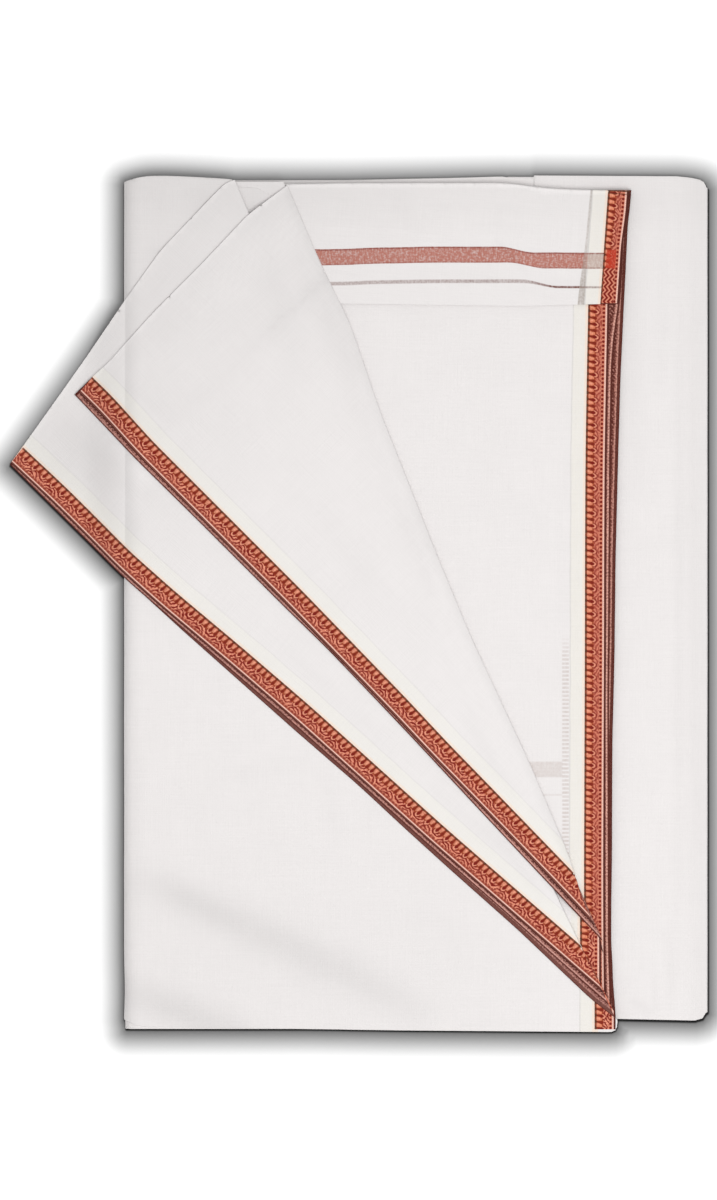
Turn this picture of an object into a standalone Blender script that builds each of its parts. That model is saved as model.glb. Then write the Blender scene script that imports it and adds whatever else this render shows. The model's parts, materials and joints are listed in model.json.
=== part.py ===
"""A folded cotton dhoti with a woven border along each selvedge, lying flat.

One loom length, about 1.27 m by 4 m, is folded into a pack of panels. Two pairs of panels are turned
back along slanting creases and make a wide and a narrow flap, which hang over the pack's left side.

The frame: +X to the right and +Y to the top of the pack, +Z up, with the surface that the pack lies on
at z = 0. Sizes below are in millimetres, and MM turns them into metres where a mesh is made.
"""

import math

import bmesh
import bpy
from mathutils import Vector

MM = 0.001

# --- Cloth and gaps -----------------------------------------------------------------------------------
SEAM = 0.3  # gap between pieces that meet
WALL = 1.0  # a panel of the pack: two pairs of thin layers with the air between them
FLAP_WALL = 1.4  # a turned-back pair of panels, lying loosely
BORDER_WIDTH = 12.5  # woven border along each selvedge

# --- Heights of the pack, bottom to top ---------------------------------------------------------------
LOWER_TOP = 4.2
UPPER_BASE = LOWER_TOP + SEAM
UPPER_TOP = 6.7
END_BASE = UPPER_TOP + SEAM
TURNOVER_BASE = END_BASE + FLAP_WALL + SEAM
MIDDLE_BASE = TURNOVER_BASE
FRONT_BASE = MIDDLE_BASE + WALL + SEAM
PACK_TOP = FRONT_BASE + WALL
WIDE_FLAP_BASE = PACK_TOP + SEAM

# --- The pack in plan ---------------------------------------------------------------------------------
LEFT = -138.6  # outside of the left fold
RIGHT = 207.7  # outside of the lower half's right fold
BOTTOM = -254.4
TOP = 251.7
ROUND = PACK_TOP / 2  # outer radius of the left fold, where the front panel wraps round the pack
WRAP_STEPS = 12
LAYER_GROOVE = 0.45  # depth of the groove between two folded layers
LAYER_BULGE = ((0.3, 0.08), (0.7, 0.0))  # share of a layer's thickness and how far in its side is there

# The first crease carries the wide flap, the second the narrow flap. Both run from the bottom up.
FIRST_CREASE = ((154.1, -254.4), (119.6, -176.7), (-63.8, 229.7), (-73.2, 251.7))
SECOND_CREASE = (
    (144.0, -197.5),
    (134.2, -178.8),
    (126.1, -151.1),
    (101.7, -94.0),
    (67.2, -19.9),
    (46.4, 30.3),
    (12.5, 116.0),
    (-4.8, 167.2),
    (-22.0, 201.7),
    (-29.8, 220.1),
    (-41.9, 248.7),
)
CREASE_HALF_WIDTH = 1.2  # the roll of cloth along a crease
CREASE_PUFF = 0.15  # how far that roll stands above its flap
CREASE_SIDES = 12
CORNER_GAP = 1.0  # a crease's points that are nearer to its border's corner than this are left out
TURNOVER_SLACK = 0.1  # what more than a seam the turnover keeps from the second crease
MITRE_LIMIT = 0.3  # least cosine at a mitred corner

# A flap's edges: the inner edge of its border from tip to crease, and its top edge from crease to tip.
WIDE_BORDER_EDGE = ((-200.5, 92.7), (-94.0, -5.9), (-61.9, -33.9), (108.3, -182.7), (131.0, -202.8))
WIDE_TOP_EDGE = ((-77.9, 251.1), (-117.2, 210.0), (-136.8, 182.7), (-172.0, 132.7))
WIDE_UNDER_EDGE = (
    (-139.2, 14.8),
    (-130.3, 7.7),
    (-72.6, -43.4),
    (52.4, -154.7),
    (139.2, -236.2),
    (152.0, -246.0),
)
NARROW_BORDER_EDGE = ((-158.9, 134.5), (-51.2, 25.6), (-34.5, 8.9), (126.1, -158.1), (129.0, -161.2))
NARROW_TOP_EDGE = ((-66.0, 230.3), (-93.4, 201.1), (-120.8, 173.7), (-148.2, 143.4))
NARROW_UNDER_EDGE = ((-168.6, 124.6), (-70.9, 25.2), (-34.5, -10.5), (142.2, -197.5))
# Where the under border starts to show beside the tip of each flap: a line across the border.
UNDER_START = {
    "wide_flap": ((-190.0, 80.0), (-210.0, 55.0)),
    "narrow_flap": ((-150.0, 132.0), (-175.0, 120.5)),
}

# Where the flaps leave the pack they sink to the surface in an S-curve.
DRAPE_START = LEFT + 6.0
DRAPE_WIDTH = 32.0
DRAPE_STEPS = 8
# The narrow flap climbs from the middle panel onto the wide flap along the first crease.
CLIMB_START = 9.5  # distance right of the first crease
CLIMB_END = 2.2
CLIMB_STEPS = 4

# Outlines of the two halves of the pack, anticlockwise from the lower left.
LOWER_OUTLINE = (
    (LEFT, -248.4),
    (154.1, -247.9),
    (182.7, -248.7),
    (202.6, -248.5),
    (206.4, -246.8),
    (RIGHT, -243.6),
    (RIGHT - 0.3, 2.0),
    (RIGHT, 247.6),
    (206.1, 251.2),
    (202.0, 252.6),
    (188.8, 252.9),
    (185.4, 254.4),
    (167.8, 254.4),
    (60.0, 252.9),
    (LEFT, 251.4),
)
UPPER_LOW_LEFT = (LEFT, -253.6)
UPPER_TOP_EDGE = ((20.0, 252.0), (LEFT, 251.2))
UPPER_SEAM_TOP = 250.9
UPPER_BORDER_ENDS = (-253.4, 247.6, 246.4)  # its left side's lower and upper end, and its right side's top
UPPER_BORDER_SETBACK = 0.8  # of its right side from the edge of the layer above it

# Edges of the pack's borders, as (x, y) from the bottom up.
END_BORDER_EDGE = ((133.9, -253.4), (134.5, -158.9), (135.4, 1.8), (136.3, 177.9), (137.0, 242.5))
END_UNDER_EDGE = (
    (154.3, -253.4),
    (152.9, -236.2),
    (152.3, -158.9),
    (152.7, 1.8),
    (154.8, 97.0),
    (155.8, 132.7),
    (158.3, 177.9),
    (162.7, 242.5),
)
TURNOVER_BORDER_EDGE = ((144.6, 177.9), (148.8, 245.7))
TURNOVER_FOLD = ((161.0, 245.4), (144.0, 245.9), (66.6, 248.5), (-41.0, 249.3))  # right to left
TURNOVER_FOLD_END = (-40.0, 249.2)  # where its roll stops, clear of the second crease
TURNOVER_CUT = ((-10.0, 177.9), (99.4, 176.7), (144.6, 177.9))  # left to right
MIDDLE_BORDER_LEFT = 132.1
MIDDLE_BORDER_RIGHT = 144.6
FRONT_BORDER_LEFT = 140.7
END_PANEL_BOTTOM = -253.4
END_PANEL_TOP_EDGE = ((66.0, 245.4), (-41.0, 246.2))  # right to left, under the turnover
END_PANEL_LEFT_TOP = 250.2
MIDDLE_PANEL_BOTTOM = -253.8
MIDDLE_PANEL_TOP = 250.4
MIDDLE_PANEL_TOP_RIGHT = -70.5
# The front panel's ends, where it rolls round the left fold: bottom and top, each towards the fold.
FRONT_BOTTOM_EDGE = ((-131.0, BOTTOM), (-137.0, -250.4))
FRONT_TOP_EDGE = ((-79.1, 252.7), (-114.8, 254.0), (-127.0, 254.0), (-134.0, 252.0))
FRONT_UNDERSIDE_ENDS = (-250.0, 251.2)

# How far each folded layer of a half reaches, bottom to top: inset from the outline on each side.
LAYERS = ("thickness", "right", "top", "bottom")
LOWER_LAYERS = (
    (0.8, 0.9, 0.8, 0.6),
    (0.9, 0.2, 0.0, 1.1),
    (0.8, 0.6, 1.2, 0.2),
    (0.9, 0.0, 0.5, 0.7),
    (0.8, 0.4, 0.2, 0.0),
)
UPPER_LAYERS = (
    (0.8, 0.8, 0.0, 0.9),
    (0.7, 0.2, 0.9, 0.3),
    (0.7, 0.6, 0.3, 1.0),
)

# name: (base colour, roughness)
FINISHES = {
    "cotton_ground": ((0.80, 0.78, 0.77, 1.0), 0.85),
    "woven_border": ((0.55, 0.13, 0.06, 1.0), 0.75),
    "under_border": ((0.27, 0.08, 0.07, 1.0), 0.80),
}


# --- Small geometry helpers ---------------------------------------------------------------------------
def offset(line, distance):
    """The line moved to its left by distance, its corners mitred."""
    moved = []
    points = [Vector(p) for p in line]
    for i, point in enumerate(points):
        before = (point - points[i - 1]).normalized() if i else None
        after = (points[i + 1] - point).normalized() if i + 1 < len(points) else None
        first = before or after
        second = after or before
        normal = Vector((-first.y - second.y, first.x + second.x)).normalized()
        reach = distance / max(MITRE_LIMIT, normal.dot(Vector((-first.y, first.x))))
        moved.append(tuple(point + normal * reach))
    return moved


def meeting(a, b, c, d):
    """Where the line through a and b meets the line through c and d."""
    ab, cd = Vector(b) - Vector(a), Vector(d) - Vector(c)
    share = (Vector(c) - Vector(a)).cross(cd) / ab.cross(cd)
    return tuple(Vector(a) + ab * share)


def smooth(share):
    share = min(1.0, max(0.0, share))
    return share * share * (3 - 2 * share)


def stepped(share, steps):
    """Smooth from 0 to 1, but straight between the bends, so that stacked walls nest exactly."""
    place = min(1.0, max(0.0, share)) * steps
    low = min(int(place), steps - 1)
    part = place - low
    return smooth(low / steps) * (1 - part) + smooth((low + 1) / steps) * part


CREASE_FOOT = Vector(FIRST_CREASE[0])
CREASE_WAY = (Vector(FIRST_CREASE[2]) - CREASE_FOOT).normalized()


def right_of_crease(x, y):
    """Signed distance from the first crease, positive on its right."""
    away = Vector((x, y)) - CREASE_FOOT
    return away.x * CREASE_WAY.y - away.y * CREASE_WAY.x


def wide_flap_base(x, _y):
    sunk = stepped((DRAPE_START - x) / DRAPE_WIDTH, DRAPE_STEPS)
    return WIDE_FLAP_BASE * (1 - sunk)


def narrow_flap_base(x, y):
    climbed = stepped((CLIMB_START - right_of_crease(x, y)) / (CLIMB_START - CLIMB_END), CLIMB_STEPS)
    low = FRONT_BASE
    high = wide_flap_base(x, y) + FLAP_WALL + SEAM
    return low * (1 - climbed) + high * climbed


def drape_bends():
    """Vertical planes, as (point, normal), where a flap bends as it leaves the pack."""
    pitch = DRAPE_WIDTH / DRAPE_STEPS
    return [((DRAPE_START - i * pitch, 0.0), (1.0, 0.0)) for i in range(DRAPE_STEPS + 1)]


def climb_bends():
    """Vertical planes where the narrow flap bends as it climbs onto the wide one."""
    normal = Vector((CREASE_WAY.y, -CREASE_WAY.x))
    pitch = (CLIMB_START - CLIMB_END) / CLIMB_STEPS
    places = [CREASE_FOOT + normal * (CLIMB_END + i * pitch) for i in range(CLIMB_STEPS + 1)]
    return [(tuple(place), tuple(normal)) for place in places]


def flat(base):
    """A base height that is the same everywhere."""
    return lambda _x, _y: base


# --- Making solids ------------------------------------------------------------------------------------
def finish_of(name):
    """The Principled material of that name, made once."""
    found = bpy.data.materials.get(name)
    if found:
        return found
    colour, roughness = FINISHES[name]
    material = bpy.data.materials.new(name)
    material.use_nodes = True
    material.diffuse_color = colour
    shader = material.node_tree.nodes["Principled BSDF"]
    shader.inputs["Base Color"].default_value = colour
    shader.inputs["Roughness"].default_value = roughness
    return material


def add_object(name, mesh, finish, collection):
    part = bpy.data.objects.new(name, mesh)
    mesh.materials.append(finish_of(finish))
    collection.objects.link(part)
    return part


def raised(base, thickness):
    """Places a flat point on a wall's underside (depth 1) or top (depth 0), by the base's height."""

    def place(x, y, depth):
        return Vector((x, y, base(x, y) + thickness * (1 - depth)))

    return place


def wrapped(x, y, depth):
    """Places a point of the front panel, which rolls round the pack's left fold to the underside."""
    turn = max(0.0, LEFT + ROUND - x) / ROUND
    radius = ROUND - depth * WALL
    if turn <= 0:
        return Vector((x, y, ROUND + radius))
    return Vector((LEFT + ROUND - radius * math.sin(turn), y, ROUND + radius * math.cos(turn)))


def cloth_wall(name, outline, place, finish, collection, bends=()):
    """A wall of cloth: the flat outline, creased at the bends, placed in space and given its thickness."""
    shape = bmesh.new()
    shape.faces.new([shape.verts.new((x, y, 0.0)) for x, y in outline])
    shape.normal_update()
    for point, normal in bends:
        bmesh.ops.bisect_plane(
            shape,
            geom=shape.verts[:] + shape.edges[:] + shape.faces[:],
            dist=0.01,
            plane_co=(*point, 0.0),
            plane_no=(*normal, 0.0),
        )
    plan = {vert: vert.co.copy() for vert in shape.verts}
    copied = bmesh.ops.extrude_face_region(shape, geom=shape.faces[:], use_keep_orig=True)
    tops = {item for item in copied["geom"] if isinstance(item, bmesh.types.BMVert)}
    for vert in shape.verts:
        depth = 0 if vert in tops else 1
        flat_place = vert.co if vert in tops else plan[vert]
        vert.co = place(flat_place.x, flat_place.y, depth) * MM
    bmesh.ops.recalc_face_normals(shape, faces=shape.faces[:])
    mesh = bpy.data.meshes.new(name)
    shape.to_mesh(mesh)
    shape.free()
    return add_object(name, mesh, finish, collection)


def closed_loft(name, rings, finish, collection):
    """A closed solid through rings of equal count, the first and the last filled."""
    shape = bmesh.new()
    rows = [[shape.verts.new(point * MM) for point in ring] for ring in rings]
    for low, high in zip(rows, rows[1:]):
        for i in range(len(low)):
            j = (i + 1) % len(low)
            shape.faces.new((low[i], low[j], high[j], high[i]))
    shape.faces.new(list(reversed(rows[0])))
    shape.faces.new(rows[-1])
    bmesh.ops.recalc_face_normals(shape, faces=shape.faces[:])
    mesh = bpy.data.meshes.new(name)
    shape.to_mesh(mesh)
    shape.free()
    return add_object(name, mesh, finish, collection)


def left_reach(z):
    """Where the hidden layers start at height z, inside the round of the front panel."""
    radius = ROUND - WALL - SEAM
    rise = abs(z - ROUND)
    if rise >= radius:
        return LEFT + ROUND + SEAM
    return LEFT + ROUND - math.sqrt(radius * radius - rise * rise)


def folded_layers(name, outline, base, layers, finish, collection, left=None):
    """Hidden folded layers as one solid: each layer bulges at its fold, with a groove to the next."""
    xs = [x for x, _ in outline]
    ys = [y for _, y in outline]
    low_x, high_x, low_y, high_y = min(xs), max(xs), min(ys), max(ys)
    rows = [dict(zip(LAYERS, layer)) for layer in layers]

    def ring(z, row, groove):
        points = []
        for x, y in outline:
            across = (x - low_x) / (high_x - low_x)
            along = (y - low_y) / (high_y - low_y)
            x -= (row["right"] + groove) * across
            y += (row["bottom"] + groove) * (1 - along) - (row["top"] + groove) * along
            if left:
                x = max(x, left(z)) if across > 0.5 else x + (left(z) - low_x) * (1 - 2 * across)
            points.append(Vector((x, y, z)))
        return points

    rings = []
    z = base
    for i, row in enumerate(rows):
        if i == 0:
            rings.append(ring(z, row, LAYER_GROOVE))
        for share, groove in LAYER_BULGE:
            rings.append(ring(z + share * row["thickness"], row, groove))
        z += row["thickness"]
        following = rows[min(i + 1, len(rows) - 1)]
        shared = {key: (row[key] + following[key]) / 2 for key in LAYERS}
        rings.append(ring(z, shared, LAYER_GROOVE))
    return closed_loft(name, rings, finish, collection)


def crease_roll(flap, line, low, high):
    """Joins to a flap the roll of cloth along its crease, where it turns down to the panel below."""
    centre_line = offset(line, CREASE_HALF_WIDTH)
    ways = [Vector(p) for p in line]
    middle, half_height = (low + high) / 2, (high - low) / 2
    rings = []
    for i, (x, y) in enumerate(centre_line):
        way = (ways[min(i + 1, len(ways) - 1)] - ways[max(i - 1, 0)]).normalized()
        side = Vector((-way.y, way.x))
        ring = []
        for k in range(CREASE_SIDES):
            angle = 2 * math.pi * (k + 0.5) / CREASE_SIDES
            reach = side * (CREASE_HALF_WIDTH * math.cos(angle))
            ring.append(Vector((x + reach.x, y + reach.y, middle + half_height * math.sin(angle))))
        rings.append(ring)
    roll = closed_loft(flap.name + "_roll", rings, "cotton_ground", CUTTERS)
    roll.hide_render = True
    roll.display_type = "WIRE"
    join = flap.modifiers.new("crease", "BOOLEAN")
    join.operation = "UNION"
    join.object = roll


def roll_clearance(crease_way, border_way):
    """How far up its crease a roll starts, to stay clear of the border that meets it at a slant."""
    return 2 * CREASE_HALF_WIDTH / math.tan(crease_way.angle(border_way)) + 2 * SEAM


def strip(inner, outer):
    """The outline between two lines that run the same way."""
    return list(inner) + list(reversed(list(outer)))


# --- The pieces ---------------------------------------------------------------------------------------
def lower_half():
    """The lower half of the pack: flat underneath, a rounded fold on its right side."""
    folded_layers("lower_fold", LOWER_OUTLINE, 0.0, LOWER_LAYERS, "cotton_ground", PACK, left=left_reach)


def upper_half():
    """The hidden layers of the upper half, and their borders as a block of their own."""
    seam = END_BORDER_EDGE[0][0]
    outline = (UPPER_LOW_LEFT, (seam, UPPER_LOW_LEFT[1]), (seam, UPPER_SEAM_TOP), *UPPER_TOP_EDGE)
    folded_layers("upper_fold", outline, UPPER_BASE, UPPER_LAYERS, "cotton_ground", PACK, left=left_reach)
    left = seam + SEAM
    bottom, top_left, top_right = UPPER_BORDER_ENDS
    outer = [(x - UPPER_BORDER_SETBACK, y) for x, y in END_UNDER_EDGE]
    border = strip([(left, top_left), (left, bottom)], [(outer[-1][0], top_right), *reversed(outer)])
    folded_layers("upper_fold_border", border, UPPER_BASE, UPPER_LAYERS, "under_border", PACK)


def end_panel():
    """The panel right of the creases, its border, and the border of the layer that peeps out under it."""
    place = raised(flat(END_BASE), FLAP_WALL)
    start = left_reach(END_BASE + FLAP_WALL)
    border_side = offset(END_BORDER_EDGE, SEAM)
    ground = [(start, END_PANEL_BOTTOM), *border_side, *END_PANEL_TOP_EDGE, (start, END_PANEL_LEFT_TOP)]
    cloth_wall("end_panel", ground, place, "cotton_ground", PACK)
    border_outer = offset(END_BORDER_EDGE, -BORDER_WIDTH)
    border = strip(border_outer, END_BORDER_EDGE)
    cloth_wall("end_panel_border", border, place, "woven_border", PACK)
    under = strip(END_UNDER_EDGE, offset(END_BORDER_EDGE, -BORDER_WIDTH - SEAM))
    under_place = raised(flat(END_BASE), WALL)
    cloth_wall("end_panel_under_border", under, under_place, "under_border", PACK)


def end_turnover():
    """The cut end of the cloth, folded down over the top of the end panel."""
    place = raised(flat(TURNOVER_BASE), WALL)
    crease = offset(SECOND_CREASE, -SEAM - TURNOVER_SLACK)
    beside_crease = [p for p in crease if p[1] > TURNOVER_CUT[0][1]]
    border_edge = offset(TURNOVER_BORDER_EDGE, SEAM)
    ground = [*TURNOVER_CUT[:-1], *border_edge, *TURNOVER_FOLD[2:-1], *reversed(beside_crease)]
    low = END_BASE
    high = TURNOVER_BASE + WALL + CREASE_PUFF
    panel = cloth_wall("end_turnover", ground, place, "cotton_ground", PACK)
    fold = [border_edge[-1], *TURNOVER_FOLD[2:-1], TURNOVER_FOLD_END]
    crease_roll(panel, fold, low, high)
    outer = offset(TURNOVER_BORDER_EDGE, -BORDER_WIDTH)
    border = strip(outer, TURNOVER_BORDER_EDGE)
    edge = cloth_wall("end_turnover_border", border, place, "woven_border", PACK)
    crease_roll(edge, [outer[-1], TURNOVER_BORDER_EDGE[-1]], low, high)


def middle_panel():
    """The flat part of the narrow flap's pair of panels, up to the second crease."""
    place = raised(flat(MIDDLE_BASE), WALL)
    edge = offset(SECOND_CREASE, 2 * CREASE_HALF_WIDTH + SEAM)
    seam_x = MIDDLE_BORDER_LEFT - SEAM
    corner = meeting(edge[1], edge[2], (seam_x, 0.0), (seam_x, 1.0))
    start = left_reach(MIDDLE_BASE + WALL)
    bottom, top = MIDDLE_PANEL_BOTTOM, MIDDLE_PANEL_TOP
    top_right = (MIDDLE_PANEL_TOP_RIGHT, top)
    ground = [(start, bottom), (seam_x, bottom), corner, *edge[2:], top_right, (start, top)]
    cloth_wall("middle_panel", ground, place, "cotton_ground", PACK)
    low_corner = meeting(edge[0], edge[1], (MIDDLE_BORDER_RIGHT, 0.0), (MIDDLE_BORDER_RIGHT, 1.0))
    high_corner = meeting(edge[0], edge[1], (MIDDLE_BORDER_LEFT, 0.0), (MIDDLE_BORDER_LEFT, 1.0))
    border = [(MIDDLE_BORDER_LEFT, bottom), (MIDDLE_BORDER_RIGHT, bottom), low_corner, high_corner]
    cloth_wall("middle_panel_border", border, place, "woven_border", PACK)


def front_panel():
    """The flat part of the wide flap's pair of panels, rolled round the left fold to the underside."""
    edge = offset(FIRST_CREASE, 2 * CREASE_HALF_WIDTH + SEAM)
    seam_x = FRONT_BORDER_LEFT - SEAM
    corner = meeting(edge[0], edge[1], (seam_x, 0.0), (seam_x, 1.0))
    underside = LEFT + ROUND - math.pi * ROUND
    low_end, high_end = FRONT_UNDERSIDE_ENDS
    ground = [
        (underside, low_end),
        *reversed(FRONT_BOTTOM_EDGE),
        (seam_x, BOTTOM),
        corner,
        *edge[1:-1],
        meeting(edge[-2], edge[-1], (0.0, TOP), (1.0, TOP)),
        *FRONT_TOP_EDGE,
        (underside, high_end),
    ]
    pitch = math.pi * ROUND / WRAP_STEPS
    bends = [((LEFT + ROUND - i * pitch, 0.0), (1.0, 0.0)) for i in range(WRAP_STEPS)]
    cloth_wall("front_panel", ground, wrapped, "cotton_ground", PACK, bends)
    low_corner = meeting(edge[0], edge[1], (0.0, BOTTOM), (1.0, BOTTOM))
    high_corner = meeting(edge[0], edge[1], (FRONT_BORDER_LEFT, 0.0), (FRONT_BORDER_LEFT, 1.0))
    border = [(FRONT_BORDER_LEFT, BOTTOM), low_corner, high_corner]
    cloth_wall("front_panel_border", border, wrapped, "woven_border", PACK)


def flap(name, crease, border_edge, top_edge, under_edge, base, fold_base, bends):
    """A pair of panels turned back over a crease: ground, border, and the border of the layer under it.

    The crease runs up from where the border's outer edge ends, and border_edge runs from tip to crease.
    """
    place = raised(base, FLAP_WALL)
    corner = border_edge[-1]
    upper_crease = [p for p in crease if p[1] > corner[1] + CORNER_GAP]
    ground_edge = [corner, *upper_crease]
    inset_crease = offset(ground_edge, CREASE_HALF_WIDTH)
    inner = offset(border_edge, SEAM / 2)
    ground_start = meeting(inner[-2], inner[-1], inset_crease[0], inset_crease[1])
    ground = [*inner[:-1], ground_start, *inset_crease[1:], *top_edge]
    panel = cloth_wall(name, ground, place, "cotton_ground", PACK, bends)
    high = base(*inset_crease[1]) + FLAP_WALL + CREASE_PUFF
    up = (Vector(upper_crease[0]) - Vector(corner)).normalized()
    border_way = Vector(border_edge[-3]) - Vector(border_edge[-2])
    roll_start = tuple(Vector(corner) + up * roll_clearance(up, border_way))
    crease_roll(panel, [roll_start, *upper_crease], fold_base, high)

    border_inner = offset(border_edge, -SEAM / 2)
    border_outer = offset(border_edge, -BORDER_WIDTH)
    outer_line = border_outer[-3:-1]
    tip = meeting(border_outer[0], border_outer[1], border_edge[0], top_edge[-1])
    border_crease = [*(p for p in crease if p[1] < corner[1] - CORNER_GAP), corner]
    inset_crease = offset(border_crease, CREASE_HALF_WIDTH)
    border_end = meeting(*outer_line, *inset_crease[:2])
    inner_end = meeting(*border_inner[-2:], *inset_crease[-2:])
    crease_side = [border_end, *inset_crease[1:-1], inner_end]
    border = [tip, *border_outer[1:-1], *crease_side, *reversed(border_inner[:-1])]
    edge = cloth_wall(name + "_border", border, place, "woven_border", PACK, bends)
    up = (Vector(border_crease[1]) - Vector(border_crease[0])).normalized()
    foot = Vector(meeting(*outer_line, *border_crease[:2])) + up * roll_clearance(up, border_way)
    head = Vector(corner) + (Vector(border_crease[-2]) - Vector(corner)).normalized() * SEAM
    between_ends = [p for p in border_crease[1:-1] if p[1] > foot.y]
    crease_roll(edge, [tuple(foot), *between_ends, tuple(head)], fold_base, high)

    under_inner = offset(border_edge, -BORDER_WIDTH - SEAM)
    under_tip = meeting(*under_inner[:2], *UNDER_START[name])
    under_end = meeting(*under_inner[-3:-1], *inset_crease[:2])
    under = [*under_edge, under_end, *reversed(under_inner[1:-1]), under_tip]
    cloth_wall(name + "_under_border", under, raised(base, WALL), "under_border", PACK, bends)


def build():
    lower_half()
    upper_half()
    end_panel()
    end_turnover()
    middle_panel()
    front_panel()
    flap(
        "wide_flap",
        FIRST_CREASE,
        WIDE_BORDER_EDGE,
        WIDE_TOP_EDGE,
        WIDE_UNDER_EDGE,
        wide_flap_base,
        FRONT_BASE,
        drape_bends(),
    )
    flap(
        "narrow_flap",
        SECOND_CREASE,
        NARROW_BORDER_EDGE,
        NARROW_TOP_EDGE,
        NARROW_UNDER_EDGE,
        narrow_flap_base,
        MIDDLE_BASE,
        drape_bends() + climb_bends(),
    )


for old in list(bpy.data.objects):
    bpy.data.objects.remove(old, do_unlink=True)
PACK = bpy.data.collections.new("folded_dhoti")
CUTTERS = bpy.data.collections.new("crease_rolls")
bpy.context.scene.collection.children.link(PACK)
bpy.context.scene.collection.children.link(CUTTERS)
build()
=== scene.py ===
"""The looks of a folded cotton dhoti: leaves of cloth, woven borders, folded layers and a plain studio.

One loom length of white cotton lies folded into a flat pack. Two pairs of panels are turned back along
slanting creases and make a wide and a narrow flap, whose borders show on top. Each visible stretch of the
cloth is a leaf of its own: it is laid out flat in plan, then bent round its folds, creased and given its
thickness. Its UV map "ClothUV" runs along and across the woven border, in metres, so that threads,
cream bands and border patterns follow the cloth.

Sizes are in millimetres in the CAD frame (+X right, +Y to the pack's top, +Z up), and MM turns them into
metres where a mesh is made.
"""

import json
import logging
import math
from collections.abc import Callable, Sequence
from dataclasses import dataclass
from enum import Enum

import bpy
import numpy as np
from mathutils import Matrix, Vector
from mathutils.bvhtree import BVHTree
from mathutils.geometry import delaunay_2d_cdt

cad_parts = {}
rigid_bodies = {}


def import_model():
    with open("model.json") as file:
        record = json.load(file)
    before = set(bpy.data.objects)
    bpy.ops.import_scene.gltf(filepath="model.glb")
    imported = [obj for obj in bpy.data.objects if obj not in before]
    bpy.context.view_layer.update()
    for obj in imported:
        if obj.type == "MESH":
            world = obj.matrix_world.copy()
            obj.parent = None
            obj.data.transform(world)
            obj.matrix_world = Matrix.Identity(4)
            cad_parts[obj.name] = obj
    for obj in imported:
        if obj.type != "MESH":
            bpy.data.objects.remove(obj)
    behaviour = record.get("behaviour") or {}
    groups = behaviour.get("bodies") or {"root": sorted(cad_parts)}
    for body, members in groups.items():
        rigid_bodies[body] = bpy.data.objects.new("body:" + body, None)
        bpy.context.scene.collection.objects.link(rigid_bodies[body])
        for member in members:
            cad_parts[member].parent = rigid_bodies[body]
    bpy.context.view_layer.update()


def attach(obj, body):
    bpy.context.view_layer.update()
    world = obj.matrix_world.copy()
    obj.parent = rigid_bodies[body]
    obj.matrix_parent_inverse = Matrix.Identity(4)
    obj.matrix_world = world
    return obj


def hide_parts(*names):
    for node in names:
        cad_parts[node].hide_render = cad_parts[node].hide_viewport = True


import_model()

LOG = logging.getLogger("folded_dhoti")
MM = 0.001
CLOTH_UV = "ClothUV"
BAKE_UV = "OFBake"
CLEARANCE = "clearance"  # the floor's attribute: how far it is from the pack's thrown, painted shadow, in millimetres
TOUCH = "touch"  # the same from the pack itself, for the painted dark contact line
PAINTED_LIGHT = "tone"  # a leaf's attribute: the painted shade in its creases and the painted highlights and shade along its folds
TROUGH_SHADE = -0.10  # painted shade of a crease, for each millimetre of depth
SUNK = 0.55  # the deepest that a crease lies

# --- Heights of the pack, bottom to top, as in the CAD --------------------------------------------------
LOWER_TOP = 4.2
END_TOP = 8.4
TURNOVER_TOP = 9.7
MIDDLE_TOP = 9.7
FRONT_BASE = 10.0
PACK_TOP = 11.0
WIDE_FLAP_BASE = 11.3
FLAP_WALL = 1.4
FLAP_GAP = 0.3

# --- The pack in plan, as in the CAD --------------------------------------------------------------------
LEFT = -139.4
RIGHT = 208.4
BORDER_WIDTH = 12.5
FIRST_CREASE = ((156.0, -252.5), (150.6, -241.0), (119.6, -176.7), (-63.8, 229.7), (-73.2, 251.7))
SECOND_CREASE = (
    (144.0, -197.5), (134.2, -178.8), (126.1, -151.1), (101.7, -94.0), (67.2, -19.9), (46.4, 30.3),
    (12.5, 116.0), (-4.8, 167.2), (-22.0, 201.7), (-29.8, 220.1), (-41.9, 248.7),
)
DRAPE_START = LEFT + 6.0
DRAPE_WIDTH = 32.0
CLIMB_WIDTH = 30.0  # how far right of the first crease the narrow flap starts to rise over it
THREAD = 0.42  # thickness of one leaf of cloth, with the air that it holds
LAP = 1.5  # how far a leaf's ground runs on under its border
LIFT = 0.05  # of a short border above the ground that it laps
LONG_LIFT = 0.06  # the same for a border that runs the whole length

Points = np.ndarray
Pair = tuple[float, float]  # a point in plan, or where a range starts and ends
Corners = tuple[Pair, ...]
Height = Callable[[Points], np.ndarray]


def eased(share: np.ndarray) -> np.ndarray:
    """A share from 0 to 1, held at both ends and smooth between them."""
    held = np.clip(share, 0.0, 1.0)
    return held * held * (3.0 - 2.0 * held)


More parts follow.
